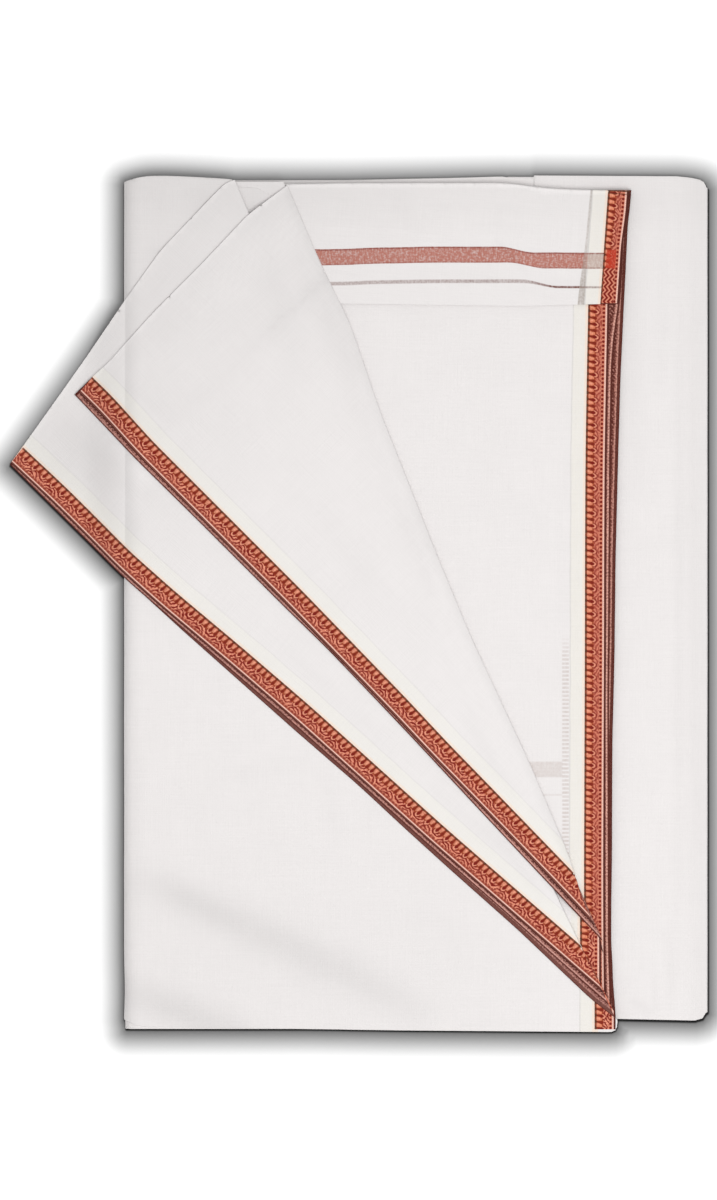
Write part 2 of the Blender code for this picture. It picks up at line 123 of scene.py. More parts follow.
class Line:
    """An open line in plan. Its left side is its positive side, and it runs straight on past its ends."""

    def __init__(self, points: Sequence[Sequence[float]] | Points) -> None:
        """Measures the line.

        Args:
            points: its points in plan, in millimetres, in order.
        """
        self.points = np.array(points, dtype=float)
        steps = np.diff(self.points, axis=0)
        self.lengths = np.linalg.norm(steps, axis=1)
        self.ways = steps / self.lengths[:, None]
        self.starts = np.concatenate(([0.0], np.cumsum(self.lengths)))

    @property
    def length(self) -> float:
        """The whole length."""
        return float(self.starts[-1])

    def at(self, runs: np.ndarray | Sequence[float]) -> Points:
        """Plan points at these distances along the line.

        Args:
            runs: the distances, which may lie past its ends.

        Returns:
            A point for each.
        """
        runs = np.asarray(runs, dtype=float)
        last = len(self.lengths) - 1
        i = np.clip(np.searchsorted(self.starts, runs, side="right") - 1, 0, last)
        return self.points[i] + self.ways[i] * (runs - self.starts[i])[:, None]

    def part(self, start: float, end: float, pitch: float = 3.0) -> Points:
        """Evenly spaced points between two distances along the line.

        Args:
            start: distance of the first point.
            end: distance of the last point, which may be smaller.
            pitch: about how far apart they are.

        Returns:
            The points, both ends included.
        """
        count = max(2, round(abs(end - start) / pitch) + 1)
        return self.at(np.linspace(start, end, count))

    def softened(self, reach: float, pitch: float = 3.0) -> "Line":
        """The line with its corners eased.

        Args:
            reach: how far on each side of a corner the easing goes.
            pitch: spacing of the new points.

        Returns:
            A new line with about the same ends.
        """
        half = max(1, round(reach / pitch))
        count = max(2, round(self.length / pitch) + 1)
        step = self.length / (count - 1)
        runs = np.linspace(-half * step, self.length + half * step, count + 2 * half)
        window = np.bartlett(2 * half + 3)[1:-1]
        window /= window.sum()
        points = self.at(runs)
        return Line(np.stack([np.convolve(points[:, axis], window, "valid") for axis in (0, 1)], axis=1))

    def moved(self, distance: float | np.ndarray) -> "Line":
        """The line moved to its left, its corners mitred.

        Args:
            distance: how far, for the whole line or for each of its points.

        Returns:
            The moved line.
        """
        before = np.vstack([self.ways[:1], self.ways])
        after = np.vstack([self.ways, self.ways[-1:]])
        normal = np.stack([-(before + after)[:, 1], (before + after)[:, 0]], axis=1)
        normal /= np.linalg.norm(normal, axis=1)[:, None]
        left = np.stack([-before[:, 1], before[:, 0]], axis=1)
        mitre = np.maximum(0.3, np.einsum("ij,ij->i", normal, left))
        return Line(self.points + normal * (distance / mitre)[:, None])

    def locate(self, plan: Points) -> tuple[np.ndarray, np.ndarray, Points]:
        """Where plan points lie beside the line.

        Args:
            plan: the points.

        Returns:
            The distance along the line, the distance to its left, and the line's direction there.
        """
        best = np.full(len(plan), np.inf)
        along = np.zeros(len(plan))
        side = np.zeros(len(plan))
        ways = np.zeros((len(plan), 2))
        last = len(self.lengths) - 1
        for i, (start, way, length) in enumerate(zip(self.points, self.ways, self.lengths)):
            away = plan - start
            run = np.clip(away @ way, -np.inf if i == 0 else 0.0, np.inf if i == last else length)
            gap = away - run[:, None] * way
            size = np.hypot(gap[:, 0], gap[:, 1])
            closer = size < best
            best[closer] = size[closer]
            along[closer] = (self.starts[i] + run)[closer]
            left = way[0] * away[:, 1] - way[1] * away[:, 0]
            side[closer] = np.where(left < 0, -size, size)[closer]
            ways[closer] = way
        return along, side, ways

    def meet(self, other: "Line", last: bool = True, reach: float = 60.0) -> float:
        """How far along this line it crosses another.

        Args:
            other: the other line.
            last: takes the last crossing instead of the first.
            reach: how far past its ends this line is followed.

        Returns:
            The distance along this line.
        """
        step = 0.5
        runs = np.arange(-reach, self.length + reach, step)
        side = other.locate(self.at(runs))[1]
        turns = np.flatnonzero(np.diff(np.sign(side)))
        turn = turns[-1 if last else 0]
        return float(runs[turn] + step * side[turn] / (side[turn] - side[turn + 1]))


@dataclass(frozen=True)
class Roll:
    """A fold along an edge of a leaf: the leaf, which lies left of it, turns down and back under itself."""

    line: Line
    radius: float
    tail: float = 2.0  # how far the leaf runs on below, after the turn
    tone: float = 0.0  # how much painted highlight (negative: painted shade) lies along it
    fade: float = 1.3  # over what distance that fades on the flat

    def painted_light_at(self, plan: Points) -> np.ndarray:
        """The fold's painted highlight (negative: painted shade) at plan points: full on the fold, fading
        on the flat.
        """
        side = self.line.locate(plan)[1]
        return self.tone * (1.0 - eased((side - self.radius - 0.3) / self.fade))

    @property
    def reach(self) -> float:
        """How far past the edge the flat leaf has to run."""
        return (math.pi - 1.0) * self.radius + self.tail

    def flange(self) -> Line:
        """The flat leaf's edge that ends up below."""
        return self.line.moved(-self.reach)

    def rows(self, start: float, end: float) -> Points:
        """Plan points that let the leaf bend smoothly round the fold.

        Args:
            start: where along the edge they start.
            end: where they end.

        Returns:
            The points.
        """
        shares = np.linspace(0.0, 1.0, 7)[:-1]
        lines = [self.line.moved(self.radius - share * math.pi * self.radius) for share in shares]
        return np.vstack([line.part(start + 1.0, end - 1.0, 2.5) for line in lines])

    def bend(self, plan: Points, depth: np.ndarray) -> tuple[Points, np.ndarray]:
        """Rolls the part of a leaf that lies past the edge.

        Args:
            plan: the leaf's plan points.
            depth: how far each is below the leaf's top already.

        Returns:
            The bent plan points and depths.
        """
        _, side, ways = self.line.locate(plan)
        past = np.maximum(0.0, self.radius - side)
        outward = np.stack([ways[:, 1], -ways[:, 0]], axis=1)
        turn = np.minimum(past / self.radius, math.pi)
        back = np.maximum(0.0, past - math.pi * self.radius)
        shift = self.radius * np.sin(turn) - back - past
        return plan + outward * shift[:, None], depth + self.radius * (1.0 - np.cos(turn))


@dataclass(frozen=True)
class Wrap:
    """The round side of the pack that a leaf follows down and under. Its top is at twice the radius."""

    edge: float  # x of the pack's outside
    radius: float
    side: int  # -1 for the left side, 1 for the right

    def under(self, tail: float) -> float:
        """The x in plan where a leaf ends that runs under the pack by a tail."""
        return self.edge + self.side * ((math.pi - 1.0) * self.radius + tail)

    def rows(self, low: float, high: float) -> Points:
        """Plan points that let the leaf bend smoothly, between two values of y.

        Args:
            low: the lower y.
            high: the higher y.

        Returns:
            The points.
        """
        start = self.edge - self.side * self.radius
        xs = start + self.side * self.radius * math.pi * np.linspace(0.0, 1.0, 15)
        ys = np.arange(low + 1.0, high - 1.0, 2.5)
        return np.stack(np.meshgrid(xs, ys), axis=-1).reshape(-1, 2)

    def bend(self, space: Points) -> Points:
        """Wraps points that are given as plan x, y and the height of the leaf.

        Args:
            space: the points.

        Returns:
            The same points where they come to lie.
        """
        x, y, z = space.T
        centre = self.edge - self.side * self.radius
        past = np.maximum(0.0, self.side * (x - centre))
        turn = np.minimum(past / self.radius, math.pi)
        back = np.maximum(0.0, past - math.pi * self.radius)
        reach = z - self.radius
        round_x = centre + self.side * (reach * np.sin(turn) - back)
        return np.stack([np.where(past > 0, round_x, x), y, self.radius + reach * np.cos(turn)], axis=1)


@dataclass(frozen=True)
class Crease:
    """A soft trough (negative depth: a ridge) pressed into a leaf, from start to end in plan."""

    start: Pair
    end: Pair
    width: float
    depth: float
    bow: float  # how far its middle stands to the left of the straight line

    def drop(self, plan: Points) -> np.ndarray:
        """How far it lowers the leaf at plan points: deepest in the middle, fading at both ends.

        Args:
            plan: the points.

        Returns:
            A depth for each, in millimetres.
        """
        start, end = np.array(self.start), np.array(self.end)
        way = end - start
        length = float(np.linalg.norm(way))
        way /= length
        away = plan - start
        share = np.clip(away @ way / length, -0.5, 1.5)
        bowed = self.bow * 4.0 * share * (1.0 - share)
        across = (way[0] * away[:, 1] - way[1] * away[:, 0] - bowed) / self.width
        inside = np.clip(share, 0.0, 1.0)
        return self.depth * np.sin(math.pi * inside) ** 0.7 * np.exp(-across * across)


def creases_from(*rows: tuple[float, ...]) -> tuple[Crease, ...]:
    """Creases from rows that give the x and y of the start and of the end, the width, depth and bow."""
    return tuple(Crease(row[:2], row[2:4], *row[4:]) for row in rows)


def inside(plan: Points, outline: Points) -> np.ndarray:
    """Which plan points lie inside a closed outline.

    Args:
        plan: the points.
        outline: its corners, in order.

    Returns:
        True for each point that does.
    """
    x, y = plan.T
    found = np.zeros(len(plan), dtype=bool)
    for (ax, ay), (bx, by) in zip(outline, np.roll(outline, -1, axis=0)):
        if ay != by:
            across = (bx - ax) * (y - ay) / (by - ay) + ax
            found ^= ((ay > y) != (by > y)) & (x < across)
    return found


def clear_of(plan: Points, outline: Points, gap: float) -> np.ndarray:
    """Which plan points are further than a gap from a closed outline.

    Args:
        plan: the points.
        outline: its corners, in order.
        gap: the distance.

    Returns:
        True for each point that is.
    """
    nearest = np.full(len(plan), np.inf)
    for start, end in zip(outline, np.roll(outline, -1, axis=0)):
        way = end - start
        span = float(way @ way)
        if span > 0:
            run = np.clip((plan - start) @ way / span, 0.0, 1.0)
            nearest = np.minimum(nearest, np.linalg.norm(plan - start - run[:, None] * way, axis=1))
    return nearest > gap


def divided(corners: Sequence[Sequence[float]]) -> Points:
    """A closed outline whose sides are divided into short steps."""
    ring = Line([*corners, corners[0]])
    return ring.part(0.0, ring.length, 4.0)[:-1]


def outline_area(outline: Points) -> float:
    """The area inside a closed outline, in square millimetres."""
    x, y = outline.T
    return abs(float(np.sum(x * np.roll(y, -1) - y * np.roll(x, -1)))) / 2.0


def lattice(outline: Points, pitch: float, extra: list[Points]) -> tuple[Points, np.ndarray]:
    """Fills a closed outline with triangles.

    Args:
        outline: its points, in order.
        pitch: spacing of the points inside.
        extra: rows of points that the triangles must use too, where they lie inside.

    Returns:
        The plan points and the triangles' corners.
    """
    low, high = outline.min(axis=0), outline.max(axis=0)
    rise = pitch * math.sqrt(3.0) / 2.0
    rows = np.arange(low[1] + rise / 2.0, high[1], rise)
    columns = np.arange(low[0], high[0], pitch)
    xs, ys = np.meshgrid(columns, rows)
    xs = xs + (np.arange(len(rows)) % 2)[:, None] * pitch / 2.0
    filling = np.stack([xs, ys], axis=-1).reshape(-1, 2)
    filling = filling[inside(filling, outline)]
    filling = filling[clear_of(filling, outline, 0.45 * pitch)]
    if extra:
        kept = np.vstack(extra)
        kept = kept[inside(kept, outline)]
        kept = kept[clear_of(kept, outline, 0.3)]
        cells = {tuple(cell) for cell in np.floor(kept / pitch).astype(int)}
        free = [tuple(cell) not in cells for cell in np.floor(filling / pitch).astype(int)]
        filling = np.vstack([filling[free], kept])
    plan = np.vstack([outline, filling])
    vectors = [tuple(point) for point in plan]
    made = delaunay_2d_cdt(vectors, [], [list(range(len(outline)))], 1, 1e-4)
    points = np.array([tuple(point) for point in made[0]])
    corners = np.array([face for face in made[2] if len(face) == 3])
    a, b, c = (points[corners[:, i]] for i in range(3))
    turned = (b - a)[:, 0] * (c - a)[:, 1] - (b - a)[:, 1] * (c - a)[:, 0] < 0
    corners[turned] = corners[turned][:, ::-1]
    return points, corners


class Slot(Enum):
    """The record's material slots."""

    GROUND = "cotton_ground"
    STRIPES = "end_stripes"
    BORDER = "woven_border"
    UNDER = "under_border"


def select(*pieces: bpy.types.Object) -> None:
    """Selects only these pieces, the first as the active one, for the operator that is called next.

    Args:
        pieces: the objects, at least one.
    """
    for other in bpy.context.selected_objects:
        other.select_set(False)
    for piece in pieces:
        piece.select_set(True)
    bpy.context.view_layer.objects.active = pieces[0]


def new_piece(
    name: str, points: Points, faces: np.ndarray | list, material: bpy.types.Material
) -> bpy.types.Object:
    """A mesh object at the origin.

    Args:
        name: its name.
        points: its corners in millimetres.
        faces: the corners of each face.
        material: its material.

    Returns:
        The object, linked to the scene.
    """
    mesh = bpy.data.meshes.new(name)
    mesh.from_pydata((points * MM).tolist(), [], [list(map(int, face)) for face in faces])
    mesh.materials.append(material)
    piece = bpy.data.objects.new(name, mesh)
    bpy.context.scene.collection.objects.link(piece)
    return piece


def apply_modifiers(piece: bpy.types.Object) -> None:
    """Applies a piece's modifiers in order."""
    select(piece)
    for modifier in list(piece.modifiers):
        bpy.ops.object.modifier_apply(modifier=modifier.name)


def smooth_shaded(piece: bpy.types.Object, angle: float = 50.0) -> None:
    """Shades a piece smooth, but for edges sharper than an angle in degrees."""
    select(piece)
    bpy.ops.object.shade_smooth_by_angle(angle=math.radians(angle))


def write_uv(piece: bpy.types.Object, name: str, places: Points) -> None:
    """Writes a UV map.

    Args:
        piece: the object.
        name: the map's name.
        places: a place for each corner of each face, in the mesh's order.
    """
    layer = piece.data.uv_layers.get(name) or piece.data.uv_layers.new(name=name)
    layer.uv.foreach_set("vector", np.ascontiguousarray(places, dtype=np.float32).ravel())


def declare_sheet(
    piece: bpy.types.Object, flat: Pair, area: float | None
) -> None:
    """Lets a sheet of cloth ride on the pack, and logs its faces and its flat size.

    Args:
        piece: the object.
        flat: width and length that it was cut to, in millimetres.
        area: its cut's flat area in square millimetres, where that isn't a rectangle.
    """
    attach(piece, "root")
    whole = flat[0] * flat[1]
    cut = None if area is None else min(area, whole) * MM * MM
    flat[0] * MM
    flat[1] * MM
    LOG.info("%s: %d faces, flat %.0f by %.0f mm", piece.name, len(piece.data.polygons), *flat)


def joined(name: str, pieces: Sequence[bpy.types.Object]) -> bpy.types.Object:
    """Joins pieces into one.

    Args:
        name: the new name.
        pieces: the objects, which the first takes in.

    Returns:
        The joined object.
    """
    select(*pieces)
    bpy.ops.object.join()
    pieces[0].name = name
    return pieces[0]


@dataclass
class Leaf:
    """One thickness of cloth: an outline in plan, laid at a height, rolled at its folds and creased."""

    name: str
    outline: Points
    height: Height  # of its upper face, at plan points
    material: bpy.types.Material
    slot: Slot
    weave: Line  # the inner edge of its woven border, which the threads follow
    pitch: float = 2.6
    thickness: float = THREAD
    rolls: Sequence[Roll] = ()
    wrap: Wrap | None = None
    creases: Sequence[Crease] = ()
    swell: float = 0.06  # how far the soft unevenness of the lying cloth goes down
    shown_width: Callable[[np.ndarray], np.ndarray] | None = None  # a border's, where not all of it shows
    measured: Line | None = None  # what its flat size is measured along, where that isn't its border
    spread: Pair = (0.0, 0.0)  # across and along, known once the leaf has its shape

    def surface(self, plan: Points) -> Points:
        """The leaf's upper face in space.

        Args:
            plan: flat points of the leaf.

        Returns:
            The same points where they lie, in millimetres.
        """
        bent = plan.copy()
        depth = np.zeros(len(plan))
        for roll in self.rolls:
            bent, depth = roll.bend(bent, depth)
        x, y = bent.T
        uneven = np.sin(x / 23.0 + 1.3 * np.sin(y / 31.0)) * np.sin(y / 27.0 + 1.1 * np.sin(x / 19.0))
        fine = np.sin(x / 7.1 + 2.0 * np.sin(y / 13.0)) * np.sin(y / 8.3 - 1.5 * np.sin(x / 11.0))
        depth = depth + self.swell * (1.0 + 0.75 * uneven + 0.25 * fine)
        depth = depth + SUNK * np.tanh(self.pressed(bent) / SUNK)
        space = np.column_stack([bent, self.height(bent) - depth])
        return self.wrap.bend(space) if self.wrap else space

    def pressed(self, bent: Points) -> np.ndarray:
        """How far the creases press it down at bent points, before the layers below hold it up."""
        return sum((crease.drop(bent) for crease in self.creases), np.zeros(len(bent)))

    def tone(self, plan: Points) -> np.ndarray:
        """The leaf's painted light: painted shade in its creases, and painted highlights and shade along
        its folds.

        Args:
            plan: its flat points.

        Returns:
            A share of its brightness for each, added to it.
        """
        bent = plan
        tone = np.zeros(len(plan))
        for roll in self.rolls:
            tone = tone + roll.painted_light_at(bent)
            bent, _ = roll.bend(bent, tone)
        return tone + TROUGH_SHADE * self.pressed(bent)

    def shape(self) -> bpy.types.Object:
        """Makes the leaf with its thickness and UV maps.

        Returns:
            The finished object.
        """
        low, high = self.outline.min(axis=0), self.outline.max(axis=0)
        extra = [roll.rows(0.0, roll.line.length) for roll in self.rolls]
        if self.wrap:
            extra.append(self.wrap.rows(low[1], high[1]))
        plan, corners = lattice(self.outline, self.pitch, extra)
        piece = new_piece(self.name, self.surface(plan), corners, self.material)
        # Stores the painted shade of the creases and the painted highlights and shade of the folds for the
        # material.
        tone = piece.data.attributes.new(PAINTED_LIGHT, "FLOAT", "POINT")
        tone.data.foreach_set("value", self.tone(plan).astype(np.float32))
        along, across, _ = self.weave.locate(plan)
        is_border = self.slot in (Slot.BORDER, Slot.UNDER)
        if is_border:
            across = -across * (BORDER_WIDTH / self.shown_width(along) if self.shown_width else 1.0)
        run, off = self.measured.locate(plan)[:2] if self.measured else (along, across)
        self.spread = (float(np.ptp(off)), float(np.ptp(run)))
        threads = np.stack([along, across], axis=1) * MM
        write_uv(piece, CLOTH_UV, threads[corners.ravel()])
        wall = piece.modifiers.new("thickness", "SOLIDIFY")
        wall.thickness = self.thickness * MM
        wall.offset = -1.0
        apply_modifiers(piece)
        if is_border:
            self._lay_out_bake(piece, len(corners))
        smooth_shaded(piece)
        return piece

    def build(self, node: str, *rests_on: str) -> None:
        """Args:
            node: the CAD part that it shows.
            rests_on: the names of what it lies on; not used.
        """
        piece = self.shape()
        declare_sheet(piece, self.spread, outline_area(self.outline))
        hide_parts(node)

    def _lay_out_bake(self, piece: bpy.types.Object, top_count: int) -> None:
        """Lays a border's faces out in rows, so that its long pattern bakes sharply.

        Args:
            piece: the finished leaf.
            top_count: how many of its faces are its upper ones.
        """
        mesh = piece.data
        loops = np.zeros(len(mesh.loops) * 2, dtype=np.float32)
        mesh.uv_layers[CLOTH_UV].uv.foreach_get("vector", loops)
        places = loops.reshape(-1, 2).astype(float) / MM
        starts = np.array([face.loop_start for face in mesh.polygons])
        counts = np.array([face.loop_total for face in mesh.polygons])
        owner = np.repeat(np.arange(len(starts)), counts)
        low, high = places.min(axis=0), places.max(axis=0)
        length, width = high - low
        margin = 1.0
        cell = 2.0 * width + 6.0 * margin
        rows = max(1, round(math.sqrt(length / cell)))
        run = length / rows
        middle = np.add.reduceat(places[:, 0], starts) / counts
        row = np.clip((middle - low[0]) // run, 0, rows - 1)[owner]
        kind = np.where(np.arange(len(starts)) < top_count, 0, np.where(counts == 3, 1, 2))[owner]
        band = np.array([margin, width + 2.0 * margin, 2.0 * width + 3.0 * margin])
        up = places[:, 1] - low[1]
        rim = np.arange(len(places)) % 2 * margin  # a rim has no width of its own in this map
        up = np.where(kind == 2, np.where(up > width / 2.0, rim + margin * 1.2, rim), up)
        u = (places[:, 0] - low[0] - row * run + 3.0 * margin) / (run + 6.0 * margin)
        v = (row * cell + band[kind] + up) / (rows * cell + 2.0 * margin)
        write_uv(piece, BAKE_UV, np.clip(np.stack([u, v], axis=1), 0.001, 0.999))


@dataclass
class FoldedLayers:
    """The hidden layers of one half of the pack, as one body whose sides are the folds of its layers."""

    name: str
    outline: Points  # closed, in order, anticlockwise
    base: float
    top: float
    layers: int
    material: bpy.types.Material
    round_left: float = 4.7  # radius of the left side inside the panel that wraps round it
    groove: float = 0.42  # depth of the grooves between the layers
    slack: float = 0.9  # how unevenly the layers end
    phase: float = 0.0
    clear_ground: float = 500.0  # puts the layers' cloth far from any border

    def ring(self, layer: int, share: float) -> Points:
        """The body's outline at a share of a layer's height.

        Args:
            layer: its number, from the lowest.
            share: from 0 at its base to 1 at its top.

        Returns:
            The ring's points in space.
        """
        thick = (self.top - self.base) / self.layers
        z = self.base + thick * (layer + share)
        ahead = np.roll(self.outline, -1, axis=0) - np.roll(self.outline, 1, axis=0)
        inward = np.stack([-ahead[:, 1], ahead[:, 0]], axis=1)
        inward /= np.linalg.norm(inward, axis=1)[:, None]
        run = np.cumsum(np.linalg.norm(self.outline - np.roll(self.outline, 1, axis=0), axis=1))
        seat = self.phase + 2.4 * layer
        ends = 0.5 + 0.5 * np.sin(seat + 1.9 * np.sign(inward[:, 1]) + 1.1 * np.sign(inward[:, 0]))
        wavy = 0.25 * np.sin(run / 37.0 + seat * 1.7) + 0.12 * np.sin(run / 11.0 + seat * 2.9)
        bulge = self.groove * (1.0 - math.sqrt(max(0.0, 1.0 - (2.0 * share - 1.0) ** 2)))
        inset = self.slack * np.clip(ends + wavy, 0.0, 1.2) + bulge
        x, y = (self.outline + inward * inset[:, None]).T
        rise = min(abs(z - PACK_TOP / 2.0), self.round_left)
        reach = LEFT + PACK_TOP / 2.0 - math.sqrt(self.round_left**2 - rise**2)
        x = np.maximum(x, reach + bulge)
        return np.column_stack([x, y, np.full(len(x), z)])

    def build(self, node: str) -> None:
        """Lofts the body through its rings, closes it and lets it stand for a CAD part.

        Args:
            node: the CAD part's node.
        """
        shares = (0.0, 0.12, 0.32, 0.5, 0.68, 0.88)
        rings = [self.ring(layer, share) for layer in range(self.layers) for share in shares]
        rings.append(self.ring(self.layers - 1, 1.0))
        count = len(self.outline)
        last = (len(rings) - 1) * count
        faces: list[list[int]] = [list(range(count))[::-1]]
        for low in range(0, last, count):
            for i in range(count):
                j = (i + 1) % count
                faces.append([low + i, low + j, low + count + j, low + count + i])
        faces.append(list(range(last, last + count)))
        places = np.vstack(rings)
        piece = new_piece(self.name, places, faces, self.material)
        threads = np.column_stack([places[:, 1], places[:, 0] + self.clear_ground]) * MM
        write_uv(piece, CLOTH_UV, threads[np.concatenate(faces)])
        smooth_shaded(piece, 60.0)
        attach(piece, "root")
        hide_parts(node)
        LOG.info("%s: %d layers, %d faces", self.name, self.layers, len(faces))


# --- Finishes -------------------------------------------------------------------------------------------
Colour = tuple[float, float, float]
Paint = bpy.types.NodeSocket | Colour  # a colour from a node, or an even one
LIGHT_LEVEL = 0.92  # a cloth's own share of the brightness that it shows under the studio's light


def dyed(red: int, green: int, blue: int) -> Colour:
    """The linear colour of cloth that shows as these display values under the studio's light."""
    return tuple(LIGHT_LEVEL * _linear(value / 255.0) for value in (red, green, blue))


def _linear(value: float) -> float:
    """A display value from 0 to 1 as a linear one."""
    return value / 12.92 if value <= 0.04045 else ((value + 0.055) / 1.055) ** 2.4


class Value:
    """A number in a shader's node tree. Arithmetic on it adds nodes."""

    def __init__(self, tree: bpy.types.NodeTree, socket: bpy.types.NodeSocket) -> None:
        """Keeps the socket that gives the number."""
        self.tree = tree
        self.socket = socket

    def _math(self, operation: str, *others: "Value | float") -> "Value":
        """Adds one Math node, with this number as its first input.

        Args:
            operation: the node's.
            others: its further inputs.

        Returns:
            The node's result.
        """
        node = self.tree.nodes.new("ShaderNodeMath")
        node.operation = operation
        for place, other in zip(node.inputs, (self, *others)):
            if isinstance(other, Value):
                self.tree.links.new(other.socket, place)
            else:
                place.default_value = other
        return Value(self.tree, node.outputs[0])

    def __add__(self, other: "Value | float") -> "Value":
        """The sum."""
        return self._math("ADD", other)

    def __sub__(self, other: "Value | float") -> "Value":
        """The difference."""
        return self._math("SUBTRACT", other)

    def __mul__(self, other: "Value | float") -> "Value":
        """The product."""
        return self._math("MULTIPLY", other)

    def __truediv__(self, other: "Value | float") -> "Value":
        """The quotient."""
        return self._math("DIVIDE", other)

    def size(self) -> "Value":
        """The number without its sign."""
        return self._math("ABSOLUTE")

    def sine(self) -> "Value":
        """Its sine."""
        return self._math("SINE")

    def most(self, other: "Value | float") -> "Value":
        """The larger of two numbers."""
        return self._math("MAXIMUM", other)

    def least(self, other: "Value | float") -> "Value":
        """The smaller of two numbers."""
        return self._math("MINIMUM", other)

    def repeated(self, pitch: float, shift: float = 0.0) -> "Value":
        """The distance from the nearest of a row of places a pitch apart, with its sign."""
        return ((self / pitch + (0.5 - shift / pitch))._math("FRACT") - 0.5) * pitch

    def step(self, start: float, end: float) -> "Value":
        """Rises smoothly from 0 at start to 1 at end, whichever is larger.

        Args:
            start: where it starts to rise.
            end: where it reaches 1.

        Returns:
            The share.
        """
        node = self.tree.nodes.new("ShaderNodeMapRange")
        node.interpolation_type = "SMOOTHSTEP"
        node.inputs["From Min"].default_value = start
        node.inputs["From Max"].default_value = end
        self.tree.links.new(self.socket, node.inputs["Value"])
        return Value(self.tree, node.outputs["Result"])

    def band(self, low: float, high: float, soft: float = 0.15) -> "Value":
        """Is 1 between low and high, and 0 elsewhere, with soft edges."""
        return self.step(low - soft / 2, low + soft / 2) * self.step(high + soft / 2, high - soft / 2)

    def far(self, other: "Value") -> "Value":
        """How far the point with these two coordinates is from the origin."""
        return (self * self + other * other)._math("SQRT")


